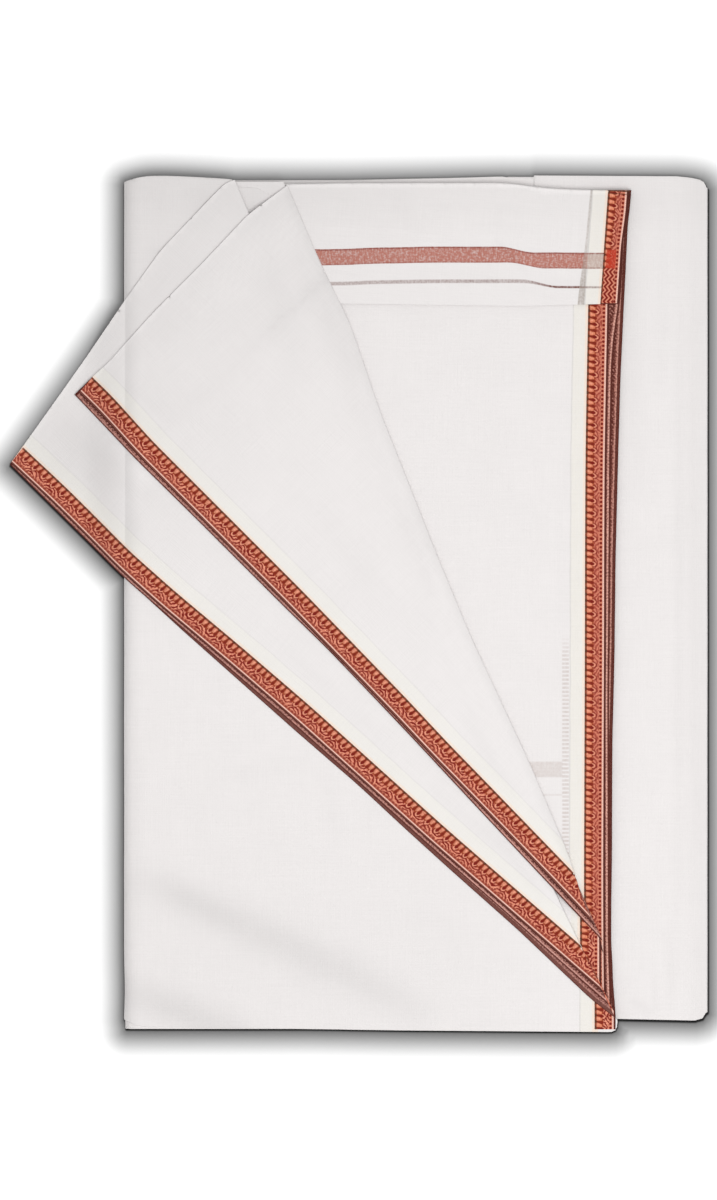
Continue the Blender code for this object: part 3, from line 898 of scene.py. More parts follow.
class Shading:
    """A cloth material's node tree, with places along and across the cloth and in the pack."""

    def __init__(self, name: str) -> None:
        """Starts a material.

        Args:
            name: its name.
        """
        self.material = bpy.data.materials.new(name)
        self.material.use_nodes = True
        self.tree = self.material.node_tree
        self.shader = self.tree.nodes["Principled BSDF"]
        cloth = self.tree.nodes.new("ShaderNodeUVMap")
        cloth.uv_map = CLOTH_UV
        self.along, self.across, _ = self._parts(cloth.outputs["UV"])
        place = self.tree.nodes.new("ShaderNodeTexCoord")
        self.x, self.y, _ = self._parts(place.outputs["Object"])
        # The leaf's painted shade of creases and painted highlights and shade of folds.
        tone = self.tree.nodes.new("ShaderNodeAttribute")
        tone.attribute_name = PAINTED_LIGHT
        self.tone = Value(self.tree, tone.outputs["Fac"])

    def _parts(self, socket: bpy.types.NodeSocket) -> tuple[Value, Value, Value]:
        """A place's three numbers, in millimetres.

        Args:
            socket: gives the place, in metres.

        Returns:
            Its x, y and z.
        """
        split = self.tree.nodes.new("ShaderNodeSeparateXYZ")
        self.tree.links.new(socket, split.inputs[0])
        return tuple(Value(self.tree, output) * (1.0 / MM) for output in split.outputs)

    def noise(self, u: Value, v: Value, detail: float = 2.0) -> Value:
        """Uneven values around 0, from about -0.5 to 0.5.

        Args:
            u: one coordinate.
            v: the other.
            detail: how many finer layers it has.

        Returns:
            The values.
        """
        place = self.tree.nodes.new("ShaderNodeCombineXYZ")
        self.tree.links.new(u.socket, place.inputs["X"])
        self.tree.links.new(v.socket, place.inputs["Y"])
        node = self.tree.nodes.new("ShaderNodeTexNoise")
        node.noise_dimensions = "2D"
        node.inputs["Scale"].default_value = 1.0
        node.inputs["Detail"].default_value = detail
        self.tree.links.new(place.outputs[0], node.inputs["Vector"])
        return Value(self.tree, node.outputs["Fac"]) - 0.5

    def grain(self, along: float, across: float) -> Value:
        """Uneven values, with this many spots to a millimetre along and across the cloth."""
        return self.noise(self.along * along, self.across * across)

    def patches(self, x: float, y: float) -> Value:
        """The same in the pack's x and y."""
        return self.noise(self.x * x, self.y * y)

    def layered(self, colour: Paint, *layers: tuple[Paint, Value]) -> bpy.types.NodeSocket:
        """Paints colours over one another in order, each with how much of it shows."""
        for over, mask in layers:
            colour = self.paint(colour, over, mask)
        return colour

    def paint(self, under: Paint, over: Paint, mask: Value) -> bpy.types.NodeSocket:
        """Paints one colour over another.

        Args:
            under: the colour below.
            over: the colour on top.
            mask: how much of it shows, from 0 to 1.

        Returns:
            The socket that gives the result.
        """
        node = self.tree.nodes.new("ShaderNodeMix")
        node.data_type = "RGBA"
        self.tree.links.new(mask.socket, node.inputs[0])
        for place, colour in ((node.inputs[6], under), (node.inputs[7], over)):
            if isinstance(colour, tuple):
                place.default_value = (*colour, 1.0)
            else:
                self.tree.links.new(colour, place)
        return node.outputs[2]

    def brightened(self, colour: bpy.types.NodeSocket, factor: Value) -> bpy.types.NodeSocket:
        """A colour made brighter or darker by a factor.

        Args:
            colour: gives the colour.
            factor: gives the factor.

        Returns:
            The socket that gives the result.
        """
        node = self.tree.nodes.new("ShaderNodeVectorMath")
        node.operation = "SCALE"
        self.tree.links.new(colour, node.inputs[0])
        self.tree.links.new(factor.socket, node.inputs["Scale"])
        return node.outputs[0]

    def threads(self, pitch: float) -> Value:
        """A plain weave's relief: each thread goes over and under the next."""
        turn = 2.0 * math.pi / pitch
        return (self.along * turn).sine() * (self.across * turn).sine()

    def border_cloth(
        self, colour: bpy.types.NodeSocket, dye: Value, grain: Value, roughness: float
    ) -> bpy.types.Material:
        """Finishes a border: its colour made uneven by its dye, and its stiff weave."""
        relief = self.threads(0.55) * 0.3 + grain * 0.8 + 0.5
        return self.done(self.brightened(colour, dye + 1.0), relief, 0.16, roughness, 0.05)

    def done(
        self, colour: bpy.types.NodeSocket, relief: Value, depth: float, roughness: float, sheen: float
    ) -> bpy.types.Material:
        """Connects the shader.

        Args:
            colour: the base colour.
            relief: the height, from 0 to 1.
            depth: what a height of 1 stands for, in millimetres.
            roughness: of the fibres.
            sheen: weight of the fuzz on them.

        Returns:
            The material.
        """
        self.tree.links.new(colour, self.shader.inputs["Base Color"])
        self.shader.inputs["Roughness"].default_value = roughness
        self.shader.inputs["Specular IOR Level"].default_value = 0.25
        self.shader.inputs["Sheen Weight"].default_value = sheen
        self.shader.inputs["Sheen Roughness"].default_value = 0.6
        bump = self.tree.nodes.new("ShaderNodeBump")
        bump.inputs["Distance"].default_value = depth * MM
        self.tree.links.new(relief.socket, bump.inputs["Height"])
        self.tree.links.new(bump.outputs["Normal"], self.shader.inputs["Normal"])
        return self.material


@dataclass(frozen=True)
class CottonGround:
    """White cotton in plain weave, with the cream band that runs beside its border."""

    name: str = "cotton_ground"
    white: Colour = dyed(239, 235, 234)
    cream: Colour = dyed(239, 235, 227)
    blush: Colour = dyed(252, 224, 202)
    line: Colour = dyed(214, 211, 205)
    cream_width: float = 8.3
    line_width: float = 0.8
    line_amount: float = 0.7
    thread: float = 0.5
    roughness: float = 0.88

    def base(self, shade: Shading) -> bpy.types.NodeSocket:
        """The white ground with its cream band and the thin line that bounds it.

        Args:
            shade: the material's nodes.

        Returns:
            The socket that gives the painted colour.
        """
        wander = shade.grain(0.06, 0.02) * 0.8
        across = shade.across + wander
        patchy = shade.grain(0.5, 0.5) * 0.5 + 0.75
        cream = across.band(-2.0, self.cream_width, 0.6) * patchy
        edge = across.band(self.cream_width, self.cream_width + self.line_width, 0.5) * patchy
        return shade.layered(
            self.white,
            (self.cream, cream),
            (self.blush, shade.across.band(-2.0, 1.5, 0.9) * patchy * 0.75),
            (self.line, edge * self.line_amount),
        )

    def painted_shading(self, shade: Shading) -> Value:
        """Painted shade: less brightness towards the upper left, around the flap tips, along the top, at
        both folds and at the foot, with a painted highlight on the left fold's very edge.

        Args:
            shade: the material's nodes.

        Returns:
            A factor of up to 1.
        """
        # Each term is painted shade; the left fold's last term is a painted highlight on its very edge.
        corner = (shade.y * 0.6 - shade.x * 0.8).step(60.0, 250.0) * 0.08
        tips_shade = (shade.x + 168.0).far(shade.y - 88.0).step(46.0, 6.0) * 0.06
        top = shade.y.step(214.0, 246.0) * 0.035
        left_fold_shade_and_highlight = shade.x.step(-128.0, -138.0) * 0.085 - shade.x.step(-138.0, -139.0) * 0.12
        right_fold_shade = shade.x.step(188.0, 206.0) * 0.045
        foot = shade.y.step(-60.0, -230.0) * shade.x.step(140.0, 60.0) * 0.022
        return (corner + tips_shade + top + left_fold_shade_and_highlight + right_fold_shade + foot) * -1.0 + 1.0

    def woven(self, shade: Shading, colour: bpy.types.NodeSocket) -> bpy.types.Material:
        """Adds the threads: slubs along and across, and the weave's relief, and brings in the painted shade
        and highlights.

        Args:
            shade: the material's nodes.
            colour: its colour so far.

        Returns:
            The finished material.
        """
        warp = shade.grain(0.035, 1.6)
        weft = shade.noise(shade.along * 1.6 + 40.0, shade.across * 0.035)
        mottle = shade.noise(shade.x * 0.045, shade.y * 0.045 + 7.0, 3.0)
        uneven = (warp + weft) * 0.045 + mottle * 0.03 + 1.0
        relief = shade.threads(self.thread) * 0.35 + (warp + weft) * 0.9 + 0.5
        # Painted shade towards the upper left, the flap tips, the top, the folds and the foot, plus the
        # painted shade of creases and painted highlights of folds.
        factor = uneven * self.painted_shading(shade) + shade.tone
        return shade.done(shade.brightened(colour, factor), relief, 0.12, self.roughness, 0.08)

    def material(self) -> bpy.types.Material:
        """The finished material."""
        shade = Shading(self.name)
        return self.woven(shade, self.base(shade))


@dataclass(frozen=True)
class EndStripes(CottonGround):
    """The cut end's ground, with a broad and a fine coloured weft stripe near the cut."""

    name: str = "end_stripes"
    cream_width: float = 8.9
    line: Colour = dyed(196, 192, 186)
    line_width: float = 1.1
    stripe: Colour = dyed(187, 121, 107)
    edge_thread: Colour = dyed(140, 72, 64)
    fine_thread: Colour = dyed(120, 74, 64)
    pale_stripe: Colour = dyed(200, 178, 168)
    shadow: Colour = dyed(168, 156, 146)
    broad: Pair = (201.0, 210.5)  # from and to this y, before the weft is pulled
    fine: float = 189.95  # the y of its middle
    rise: float = 1.5  # how far up the weft runs in its middle
    risen: Pair = (-25.0, 43.0)
    pull: float = 3.6  # how far down it is pulled right of the small slanting crease
    pulled: Pair = (85.0, 104.0)
    slant: float = 0.67

    def material(self) -> bpy.types.Material:
        """Lays the stripes, their edge threads and the lapped edge over the ground.

        Returns:
            The finished material.
        """
        shade = Shading(self.name)
        sway = shade.patches(0.03, 0.004) * 0.8
        pulled = (shade.x + (shade.y - self.broad[1]) * self.slant).step(*self.pulled)
        level = shade.y - shade.x.step(*self.risen) * self.rise + pulled * self.pull + sway
        hatch = shade.patches(1.1, 0.3) * 0.8 + shade.patches(0.6, 0.9) * 0.9 + 0.92
        over_cream = shade.across.step(self.cream_width + 1.5, self.cream_width)
        dye = shade.paint(self.stripe, self.pale_stripe, over_cream)
        broad = level.band(self.broad[0], self.broad[1], 0.5) * hatch
        threads = level.band(self.broad[1] - 0.9, self.broad[1], 0.4)
        threads = threads.most(level.band(self.broad[0], self.broad[0] + 0.7, 0.4) * 0.6)
        half = pulled * -0.45 + 1.05
        fine = ((level - self.fine).size() - half).step(0.4, -0.4) * hatch * (pulled * 0.5 + 0.52)
        fine = fine * (over_cream * -0.4 + 1.0)
        colour = shade.layered(
            self.base(shade),
            (dye, broad.least(1.0)),
            (self.edge_thread, (threads * hatch * 0.75).least(1.0)),
            (self.fine_thread, fine.least(1.0)),
            (self.shadow, self.lapped(shade) * hatch * 0.8),
        )
        return self.woven(shade, colour)

    def lapped(self, shade: Shading) -> Value:
        """The turned edge of the cream band below: a grey line that widens towards the cut.

        Args:
            shade: the material's nodes.

        Returns:
            How much of it shows.
        """
        middle = shade.along * -0.024 + 11.5
        half = shade.along.step(40.0, 0.0) * 1.3 + 0.6
        within = ((shade.across - middle).size() - half).step(0.3, -0.3)
        return within * (shade.along.step(30.0, 10.0) * 0.25 + 0.6)


@dataclass(frozen=True)
class SheerGround(CottonGround):
    """The end panel's ground, thin enough for the stripes of the layer below to show through faintly."""

    name: str = "cotton_sheer"
    ghost: Colour = dyed(205, 192, 186)
    stripe_x: Pair = (100.5, 121.5)
    stripe_y: Pair = (-103.6, -94.4)
    line_y: Pair = (-114.8, -113.6)
    dash_x: Pair = (121.5, 125.5)
    dash_y: Pair = (-195.0, -25.0)
    dash_pitch: float = 2.4

    def material(self) -> bpy.types.Material:
        """Lays the stripes that show through over the ground.

        Returns:
            The finished material.
        """
        shade = Shading(self.name)
        cloudy = shade.patches(0.5, 0.5) + 0.9
        columns = shade.x.band(*self.stripe_x, 1.5)
        stripe = columns * shade.y.band(*self.stripe_y, 1.2) * 0.5
        line = columns * shade.y.band(*self.line_y, 0.6) * 0.3
        dashes = shade.y.repeated(self.dash_pitch).size().step(0.9, 0.5)
        column = shade.x.band(*self.dash_x, 1.0) * shade.y.band(*self.dash_y, 20.0) * dashes * 0.6
        mask = (stripe + line + column) * cloudy
        return self.woven(shade, shade.paint(self.base(shade), self.ghost, mask.least(1.0)))


class TipEdge(Enum):
    """The thin line along a border's first end, at the fold: cream, or dark as painted shade."""

    CREAM = dyed(240, 212, 196)
    DARK = dyed(92, 34, 26)


@dataclass(frozen=True)
class WovenBorder:
    """The woven border: a dark line, teeth with round heads, a field of winding lines and a selvedge."""

    name: str = "woven_border"
    tip: TipEdge = TipEdge.DARK
    ends_at: float | None = None  # where along it a dark thread closes it, if anywhere
    knotted: float = 0.0  # up to where along it the zigzag and the plain band stand in place of the teeth
    figure: float = 0.5  # how strongly the winding lines show
    dots: float = 1.0  # how strongly the row of dots shows
    rust: Colour = dyed(172, 76, 54)
    orange: Colour = dyed(192, 92, 60)
    rose: Colour = dyed(192, 98, 78)
    salmon: Colour = dyed(240, 158, 128)
    glow: Colour = dyed(228, 136, 102)
    red: Colour = dyed(196, 56, 32)
    dark_red: Colour = dyed(124, 17, 2)
    umber: Colour = dyed(144, 54, 14)
    brown: Colour = dyed(88, 50, 30)
    maroon: Colour = dyed(78, 28, 20)
    selvedge: Colour = dyed(98, 38, 26)
    light: Colour = dyed(246, 200, 184)
    tooth_pitch: float = 3.75
    head_at: float = 4.2
    fan_pitch: float = 15.0
    dot_pitch: float = 2.45
    line_pitch: float = 1.85
    light_line: Pair = (10.4, 11.3)
    roughness: float = 0.8

    def teeth(self, shade: Shading, colour: bpy.types.NodeSocket) -> bpy.types.NodeSocket:
        """Stems from the dark line with round heads; every second head has a pale ring.

        Args:
            shade: the material's nodes.
            colour: what it is painted on.

        Returns:
            The socket that gives the painted colour.
        """
        across = shade.across
        slant = shade.along + across * 0.16
        beside = slant.repeated(self.tooth_pitch)
        gap = slant.repeated(self.tooth_pitch, self.tooth_pitch / 2.0)
        strong = slant.repeated(2.0 * self.tooth_pitch).size().step(2.2, 1.6)
        uneven = shade.grain(0.6, 0.6)
        half = across * -0.2 + 1.55 + uneven * 0.7
        stroke = (gap.size() - half).step(0.2, -0.2) * across.band(1.1, 4.3, 0.3)
        gleam = (gap - 0.2).size().step(0.8, 0.2) * across.band(1.2, 3.3, 0.9)
        from_head = (beside * 1.25).far((across - self.head_at) * 0.8)
        ring = from_head.step(1.0, 1.25) * from_head.step(1.9, 1.6) * across.step(4.2, 4.8) * strong
        light = (gleam * (uneven * 2.4 + 0.8)).most(ring * 0.8)
        outline = from_head.step(1.85, 2.1) * from_head.step(2.8, 2.5)
        outline = outline * across.step(4.5, 5.0) * strong * 0.7
        stem = beside.size().step(0.62, 0.3) * across.band(0.6, 3.9, 0.2) * (strong * 0.25 + 0.6)
        head = from_head.step(1.25, 0.85) * (strong * 0.2 + 0.8)
        root = beside.size().step(1.3, 0.5) * 0.4 + 0.56
        return shade.layered(
            colour,
            (self.umber, across.band(1.0, 5.0, 0.7) * (uneven + 0.75)),
            (self.glow, (stroke * (uneven * 1.4 + 1.0)).least(1.0)),
            (self.salmon, light.least(1.0)),
            (self.dark_red, stem.most(head).most(outline)),
            (self.brown, across.step(1.45, 1.1) * root),
        )

    def field(self, shade: Shading, colour: bpy.types.NodeSocket) -> bpy.types.NodeSocket:
        """Fans of nested arcs from both sides, in lines of a lighter and a darker thread.

        Args:
            shade: the material's nodes.
            colour: what it is painted on.

        Returns:
            The socket that gives the painted colour.
        """
        low = shade.along.repeated(self.fan_pitch).far(shade.across - 10.6)
        high = shade.along.repeated(self.fan_pitch, self.fan_pitch / 2.0).far(shade.across - 3.6)
        wander = shade.grain(0.4, 0.4) * 2.2
        lines = (low.least(high + 0.9) + wander).repeated(self.line_pitch).size()
        patchy = (shade.noise(shade.along * 0.12 + 9.0, shade.across * 0.12) * 1.0 + 1.0) * self.figure
        end = 8.7 + (1.0 - self.dots) * 1.5
        zone = shade.across.band(5.2, end, 0.4) * patchy
        broken = shade.grain(0.9, 0.9) * 2.0 + 0.75
        return shade.layered(
            colour,
            (self.rose, shade.across.band(5.3, end, 0.6)),
            (self.salmon, (lines.step(0.42, 0.18) * zone * broken).least(1.0)),
            (self.dark_red, (lines.step(0.42, 0.68) * zone).least(1.0)),
        )

    def knots(self, shade: Shading, colour: bpy.types.NodeSocket) -> bpy.types.NodeSocket:
        """The border's own cut end: a zigzag of winding lines, then a plain red band.

        Args:
            shade: the material's nodes.
            colour: what it is painted on.

        Returns:
            The socket that gives the painted colour.
        """
        zigzag = (shade.across + shade.along.repeated(4.4).size() * 1.0).repeated(2.9).size()
        zone = shade.across.step(0.9, 1.2) * shade.along.step(self.knotted - 10.6, self.knotted - 11.4)
        band = shade.along.band(self.knotted - 11.0, self.knotted, 0.8) * shade.across.band(2.0, 8.8, 0.8)
        return shade.layered(
            colour,
            (self.rust, zone),
            (self.salmon, zigzag.step(0.6, 0.35) * zone * 0.75),
            (self.dark_red, zigzag.step(0.7, 1.0) * zone),
            (self.red, band * (shade.grain(0.9, 0.5) + 0.8)),
        )

    def edge(self, shade: Shading, colour: bpy.types.NodeSocket) -> bpy.types.NodeSocket:
        """The row of dots, the light line and the selvedge.

        Args:
            shade: the material's nodes.
            colour: what it is painted on.

        Returns:
            The socket that gives the painted colour.
        """
        line_start, line_end = self.light_line
        dots = shade.along.repeated(self.dot_pitch).far(shade.across - (line_start - 0.98)).step(1.0, 0.62)
        pale = shade.across.band(line_start - 1.9, line_start, 0.3) * self.dots
        light = shade.across.band(line_start, line_end, 0.25)
        beads = (shade.along + shade.across * 0.6).repeated(1.2).size().step(0.4, 0.55)
        shaded = shade.across.band(line_start - 1.3, line_start, 0.4) * (1.0 - self.dots)
        threads = shade.across.band(line_end + 0.1, line_end + 0.4, 0.2).most(shade.across.step(11.8, 12.0))
        return shade.layered(
            colour,
            (self.salmon, pale * 0.5),
            (self.dark_red, shaded),
            (self.dark_red, dots * self.dots),
            (self.light, light),
            (self.dark_red, light * beads * 0.25),
            (self.selvedge, shade.across.step(line_end, line_end + 0.2)),
            (self.maroon, threads),
        )

    def material(self) -> bpy.types.Material:
        """Paints the field, the teeth, the edge and the border's ends.

        Returns:
            The finished material.
        """
        shade = Shading(self.name)
        blush = shade.grain(0.08, 0.1) * 1.6 + 0.5
        colour = self.teeth(shade, self.field(shade, shade.paint(self.rust, self.orange, blush)))
        if self.knotted:
            colour = self.knots(shade, colour)
        colour = self.edge(shade, colour)
        # The first end's thin line: cream, or a dark line of painted shade at the fold.
        tip_line = (shade.along - shade.across * 0.06).step(1.1, 0.7)
        colour = shade.paint(colour, self.tip.value, tip_line)
        if self.ends_at is not None:
            last = shade.along.band(self.ends_at - 0.7, self.ends_at + 0.6)
            last = last.most(shade.along.band(self.ends_at - 2.4, self.ends_at - 1.7) * 0.7)
            colour = shade.paint(colour, self.brown, last * 0.9)
        warp = shade.grain(0.5, 3.0)
        grain = shade.grain(1.5, 1.5)
        return shade.border_cloth(colour, warp * 0.3 + grain * 0.5, grain, self.roughness)


@dataclass(frozen=True)
class UnderBorder:
    """The border of a leaf below, of which little more than the selvedge shows. Its muted colours are
    partly the cloth's wrong side and partly painted shade under the leaf above.
    """

    name: str = "under_border"
    mauve: Colour = dyed(158, 98, 86)
    rose: Colour = dyed(204, 142, 126)
    dark: Colour = dyed(84, 28, 18)
    light: Colour = dyed(232, 176, 160)
    dot_pitch: float = 2.45
    selvedge: Colour = dyed(84, 30, 20)
    light_line: Pair = (9.7, 10.5)
    light_amount: float = 1.0
    light_grows: Pair = (-2.0, -1.0)  # where along it the light line becomes clear
    depth: float = 0.75  # how dark the stretch inside the light line is: painted shade beside the leaf above
    dashes: float = 0.35  # how far the light line is broken into dashes
    roughness: float = 0.85

    def material(self) -> bpy.types.Material:
        """Paints the specked cloth, its light line and its selvedge.

        Returns:
            The finished material.
        """
        shade = Shading(self.name)
        line_start, line_end = self.light_line
        specks = shade.grain(0.9, 0.9)
        slant = (shade.along + shade.across * 0.7).repeated(self.dot_pitch).size()
        # Painted shade: the stretch inside the light line is darker where the leaf above lies over it.
        shade_inside = shade.across.step(line_start - 0.2, line_start - 0.9) * self.depth
        hatch = slant.step(0.8, 0.45) * shade.across.band(line_start - 2.5, line_start - 0.8, 0.3)
        clear = (shade.along.step(*self.light_grows) * 0.55 + 0.45) * self.light_amount
        patchy = (shade.grain(0.09, 0.3) * 1.2 + 0.9) * clear
        beads = (shade.along + specks * 2.0).repeated(1.9).size().step(0.6, 0.2) * self.dashes * -1.0 + 1.0
        light = shade.across.band(line_start, line_end, 0.2) * patchy * beads
        colour = shade.layered(
            self.mauve,
            (self.dark, (specks.step(0.0, 0.12) * 0.8).most(shade_inside)),
            (self.rose, specks.step(-0.03, -0.14) * 0.7),
            (self.dark, hatch * 0.85),
            (self.light, light.least(1.0)),
            (self.selvedge, shade.across.step(line_end, line_end + 0.2) * 0.9),
            (self.dark, shade.across.step(12.0, 12.2) * 0.9),
            (self.dark, shade.along.step(1.6, 1.2)),
        )
        grain = shade.grain(2.0, 2.0)
        return shade.border_cloth(colour, grain * 0.7, grain, self.roughness)


@dataclass(frozen=True)
class PaleFloor:
    """A plain pale floor, lit a little from within, with a painted soft shadow close to what lies on it and
    a painted dark contact line right under its edges.
    """

    name: str = "pale_floor"
    pale: float = 0.94
    glow: float = 0.14
    darkest: float = 0.10
    fade: Pair = (-4.7, 22.3)  # the clearance at which the painted soft shadow starts and ends
    contact_dark: float = 0.08
    contact_fade: Pair = (0.1, 1.35)  # the same for the painted dark contact line right under the edge

    def material(self) -> bpy.types.Material:
        """Mixes the floor's base and glow from its two painted shades.

        Returns:
            The finished material.
        """
        material = bpy.data.materials.new(self.name)
        material.use_nodes = True
        tree = material.node_tree
        shader = tree.nodes["Principled BSDF"]
        shader.inputs["Roughness"].default_value = 0.9
        shader.inputs["Specular IOR Level"].default_value = 0.1
        shades = []
        for name, fade, dark in (
            (CLEARANCE, self.fade, self.darkest),
            (TOUCH, self.contact_fade, self.contact_dark),
        ):
            clearance = tree.nodes.new("ShaderNodeAttribute")
            clearance.attribute_name = name
            shades.append(Value(tree, clearance.outputs["Fac"]).step(*fade) * (1.0 - dark) + dark)
        shade = shades[0] * shades[1]
        for level, place in ((self.pale, "Base Color"), (self.glow, "Emission Color")):
            mixed = tree.nodes.new("ShaderNodeCombineColor")
            for channel in mixed.inputs:
                tree.links.new((shade * level).socket, channel)
            tree.links.new(mixed.outputs[0], shader.inputs[place])
        shader.inputs["Emission Strength"].default_value = 1.0
        return material


# --- Heights --------------------------------------------------------------------------------------------
def level(top: float) -> Height:
    """An even height."""
    return lambda plan: np.full(len(plan), top)


def wide_flap_base(plan: Points) -> np.ndarray:
    """Under the wide flap: level on the pack, then down to the floor at its left."""
    return WIDE_FLAP_BASE * (1.0 - eased((DRAPE_START - plan[:, 0]) / DRAPE_WIDTH))


def narrow_flap_base(plan: Points) -> np.ndarray:
    """Under the narrow flap: from the middle panel up over the first crease onto the wide flap.

    Args:
        plan: the points.

    Returns:
        Its height at each.
    """
    right = -FIRST_LINE.locate(plan)[1]
    span = right + SECOND_LINE.locate(plan)[1]
    share = 1.0 - right / np.clip(span - 3.0, 4.0, CLIMB_WIDTH)
    climbed = eased(share)
    return FRONT_BASE * (1.0 - climbed) + (wide_flap_base(plan) + FLAP_WALL + FLAP_GAP) * climbed


FIRST_LINE = Line(FIRST_CREASE).softened(24.0)
SECOND_LINE = Line(SECOND_CREASE).softened(15.0)


def across_at(y: float) -> Line:
    """A level line in plan, from left to right."""
    return Line([(-400.0, y), (400.0, y)])


def upright_at(x: float) -> Line:
    """A straight line in plan, from the pack's foot to its top."""
    return Line([(x, -260.0), (x, 260.0)])


def strip_between(inner: Line, outer: Line, start: Line, end: Line) -> Points:
    """A strip's outline.

    Args:
        inner: one long side.
        outer: the other, which runs the same way.
        start: a line that cuts off their first end.
        end: a line that cuts off their last end.

    Returns:
        The closed outline.
    """
    near = inner.part(inner.meet(start, last=False), inner.meet(end), 2.0)
    far = outer.part(outer.meet(start, last=False), outer.meet(end), 2.0)
    return np.vstack([near, far[::-1]])


def border_leaf(
    name: str, edge: Line, outer: Line, ends: tuple[Line, Line], height: Height, **finish: object
) -> Leaf:
    """A woven border's leaf.

    Args:
        name: its name.
        edge: where its ground ends and it begins.
        outer: its selvedge, which runs the same way.
        ends: the lines that cut it off.
        height: of its upper face.
        finish: the leaf's other fields.

    Returns:
        The leaf, not yet built.
    """
    outline = strip_between(edge, outer, *ends)
    return Leaf(name, outline, height, slot=Slot.BORDER, weave=edge, swell=0.03, **finish)


def under_leaf(name: str, outer: Line, ends: tuple[Line, Line], height: Height, **finish: object) -> Leaf:
    """The leaf of a border that lies below and shows only at its selvedge.

    Args:
        name: its name.
        outer: its selvedge.
        ends: the lines that cut it off.
        height: of its upper face.
        finish: the leaf's other fields.

    Returns:
        The leaf, not yet built.
    """
    inner = outer.moved(BORDER_WIDTH)
    return Leaf(name, strip_between(inner, outer, *ends), height, slot=Slot.UNDER, weave=inner, **finish)


# --- Sub-assemblies -------------------------------------------------------------------------------------
FLAP_WEAVE = {"figure": 1.0, "dots": 0.6, "selvedge": dyed(124, 70, 58), "glow": dyed(214, 132, 104)}


class Fabrics:
    """The finishes that the pieces share."""

    def __init__(self) -> None:
        """Makes their materials."""
        self.ground = CottonGround().material()
        self.flap_ground = CottonGround(
            name="cotton_ground_flap", cream=dyed(241, 238, 232), line_amount=0.3
        ).material()
        self.stripes = EndStripes().material()
        self.sheer = SheerGround().material()
        self.border = WovenBorder().material()
        self.front_border = WovenBorder(name="woven_border_front", figure=1.0).material()
        self.wide_border = WovenBorder(
            name="woven_border_wide", tip=TipEdge.CREAM, light_line=(10.5, 11.2), **FLAP_WEAVE
        ).material()
        self.narrow_border = WovenBorder(
            name="woven_border_narrow", light_line=(10.25, 10.95), **FLAP_WEAVE
        ).material()
        self.turned = WovenBorder(name="woven_border_turned", ends_at=68.6, knotted=33.0).material()
        self.under = UnderBorder(light_line=(10.5, 11.4), dashes=0.6).material()
        self.lower_under = UnderBorder(name="under_border_faint", light_amount=0.5).material()
        self.flap_under = UnderBorder(
            name="under_border_flap",
            light=dyed(220, 166, 154),
            mauve=dyed(160, 108, 98),
            selvedge=dyed(112, 62, 54),
            light_line=(11.0, 11.7),
            light_grows=(300.0, 400.0),
            depth=0.25,
        ).material()
        self.flap_outer = UnderBorder(
            name="under_border_outer",
            light=dyed(200, 146, 134),
            mauve=dyed(152, 102, 94),
            selvedge=dyed(112, 66, 58),
            light_line=(9.3, 10.1),
            light_amount=0.4,
            depth=0.35,
        ).material()


@dataclass
class LowerHalf:
    """The lower half of the pack: its hidden layers, and the leaf on top that rounds its right fold."""

    fabrics: Fabrics
    outline: Corners = (
        (-138.6, -248.0), (154.1, -247.4), (182.7, -248.0), (202.6, -248.3), (206.2, -247.3),
        (207.3, -243.6), (207.1, 2.0), (207.3, 246.6), (206.0, 249.6), (203.4, 251.6), (198.0, 252.8),
        (190.0, 253.6), (84.0, 254.1), (54.0, 253.4), (25.0, 252.8), (-5.0, 252.2), (-75.0, 252.0),
        (-138.6, 250.8),
    )
    weave_x: float = 400.0  # puts the strip's cloth far from any border
    lower_edge: Corners = (
        (104.0, -247.6), (154.1, -247.8), (182.7, -248.4), (200.6, -248.8), (205.2, -247.6),
        (207.5, -244.2), (210.7, -243.8), (222.7, -243.8),
    )
    upper_edge: Corners = (
        (222.7, 246.6), (210.7, 247.0), (207.6, 248.4), (206.2, 250.8), (203.5, 252.4), (198.0, 253.5),
        (190.0, 254.3), (104.0, 254.8),
    )

    def build(self) -> None:
        """Makes the layers and the strip that shows at the pack's right."""
        top = LOWER_TOP - THREAD - 0.02
        layers = FoldedLayers("lower_layers", divided(self.outline), 0.0, top, 8, self.fabrics.ground)
        layers.build("lower_fold")
        wrap = Wrap(RIGHT, LOWER_TOP / 2.0, 1)
        low = Roll(Line(self.lower_edge), 0.35)
        high = Roll(Line(self.upper_edge), 0.35)
        right = wrap.under(9.0)
        outline = np.vstack([
            low.flange().part(0.0, low.line.length, 3.0),
            [(right, -243.0), (right, 246.4)],
            high.flange().part(0.0, high.line.length, 3.0),
        ])
        creases = creases_from(
            (190.4, 250.0, 189.2, -246.0, 3.2, 0.34, 0.8), (199.0, 240.0, 200.2, -180.0, 2.4, 0.18, -0.6),
            (181.0, 254.0, 180.0, 120.0, 4.0, 0.16, 0.5), (160.5, 238.0, 166.5, 60.0, 5.0, 0.22, 0.0),
            (183.5, -190.0, 186.0, -248.0, 3.0, 0.35, 1.0),
            (176.0, -216.0, 178.5, -247.0, 2.4, 0.30, -0.8),
            (160.0, -236.0, 176.0, -246.5, 3.0, 0.40, 1.2),
        )
        weave = Line([(self.weave_x, -250.0), (self.weave_x, 250.0)])
        strip = Leaf("lower_strip", outline, level(LOWER_TOP), self.fabrics.ground, Slot.GROUND, weave,
                     rolls=(low, high), wrap=wrap, creases=creases)
        strip.build("lower_fold", "lower_layers")


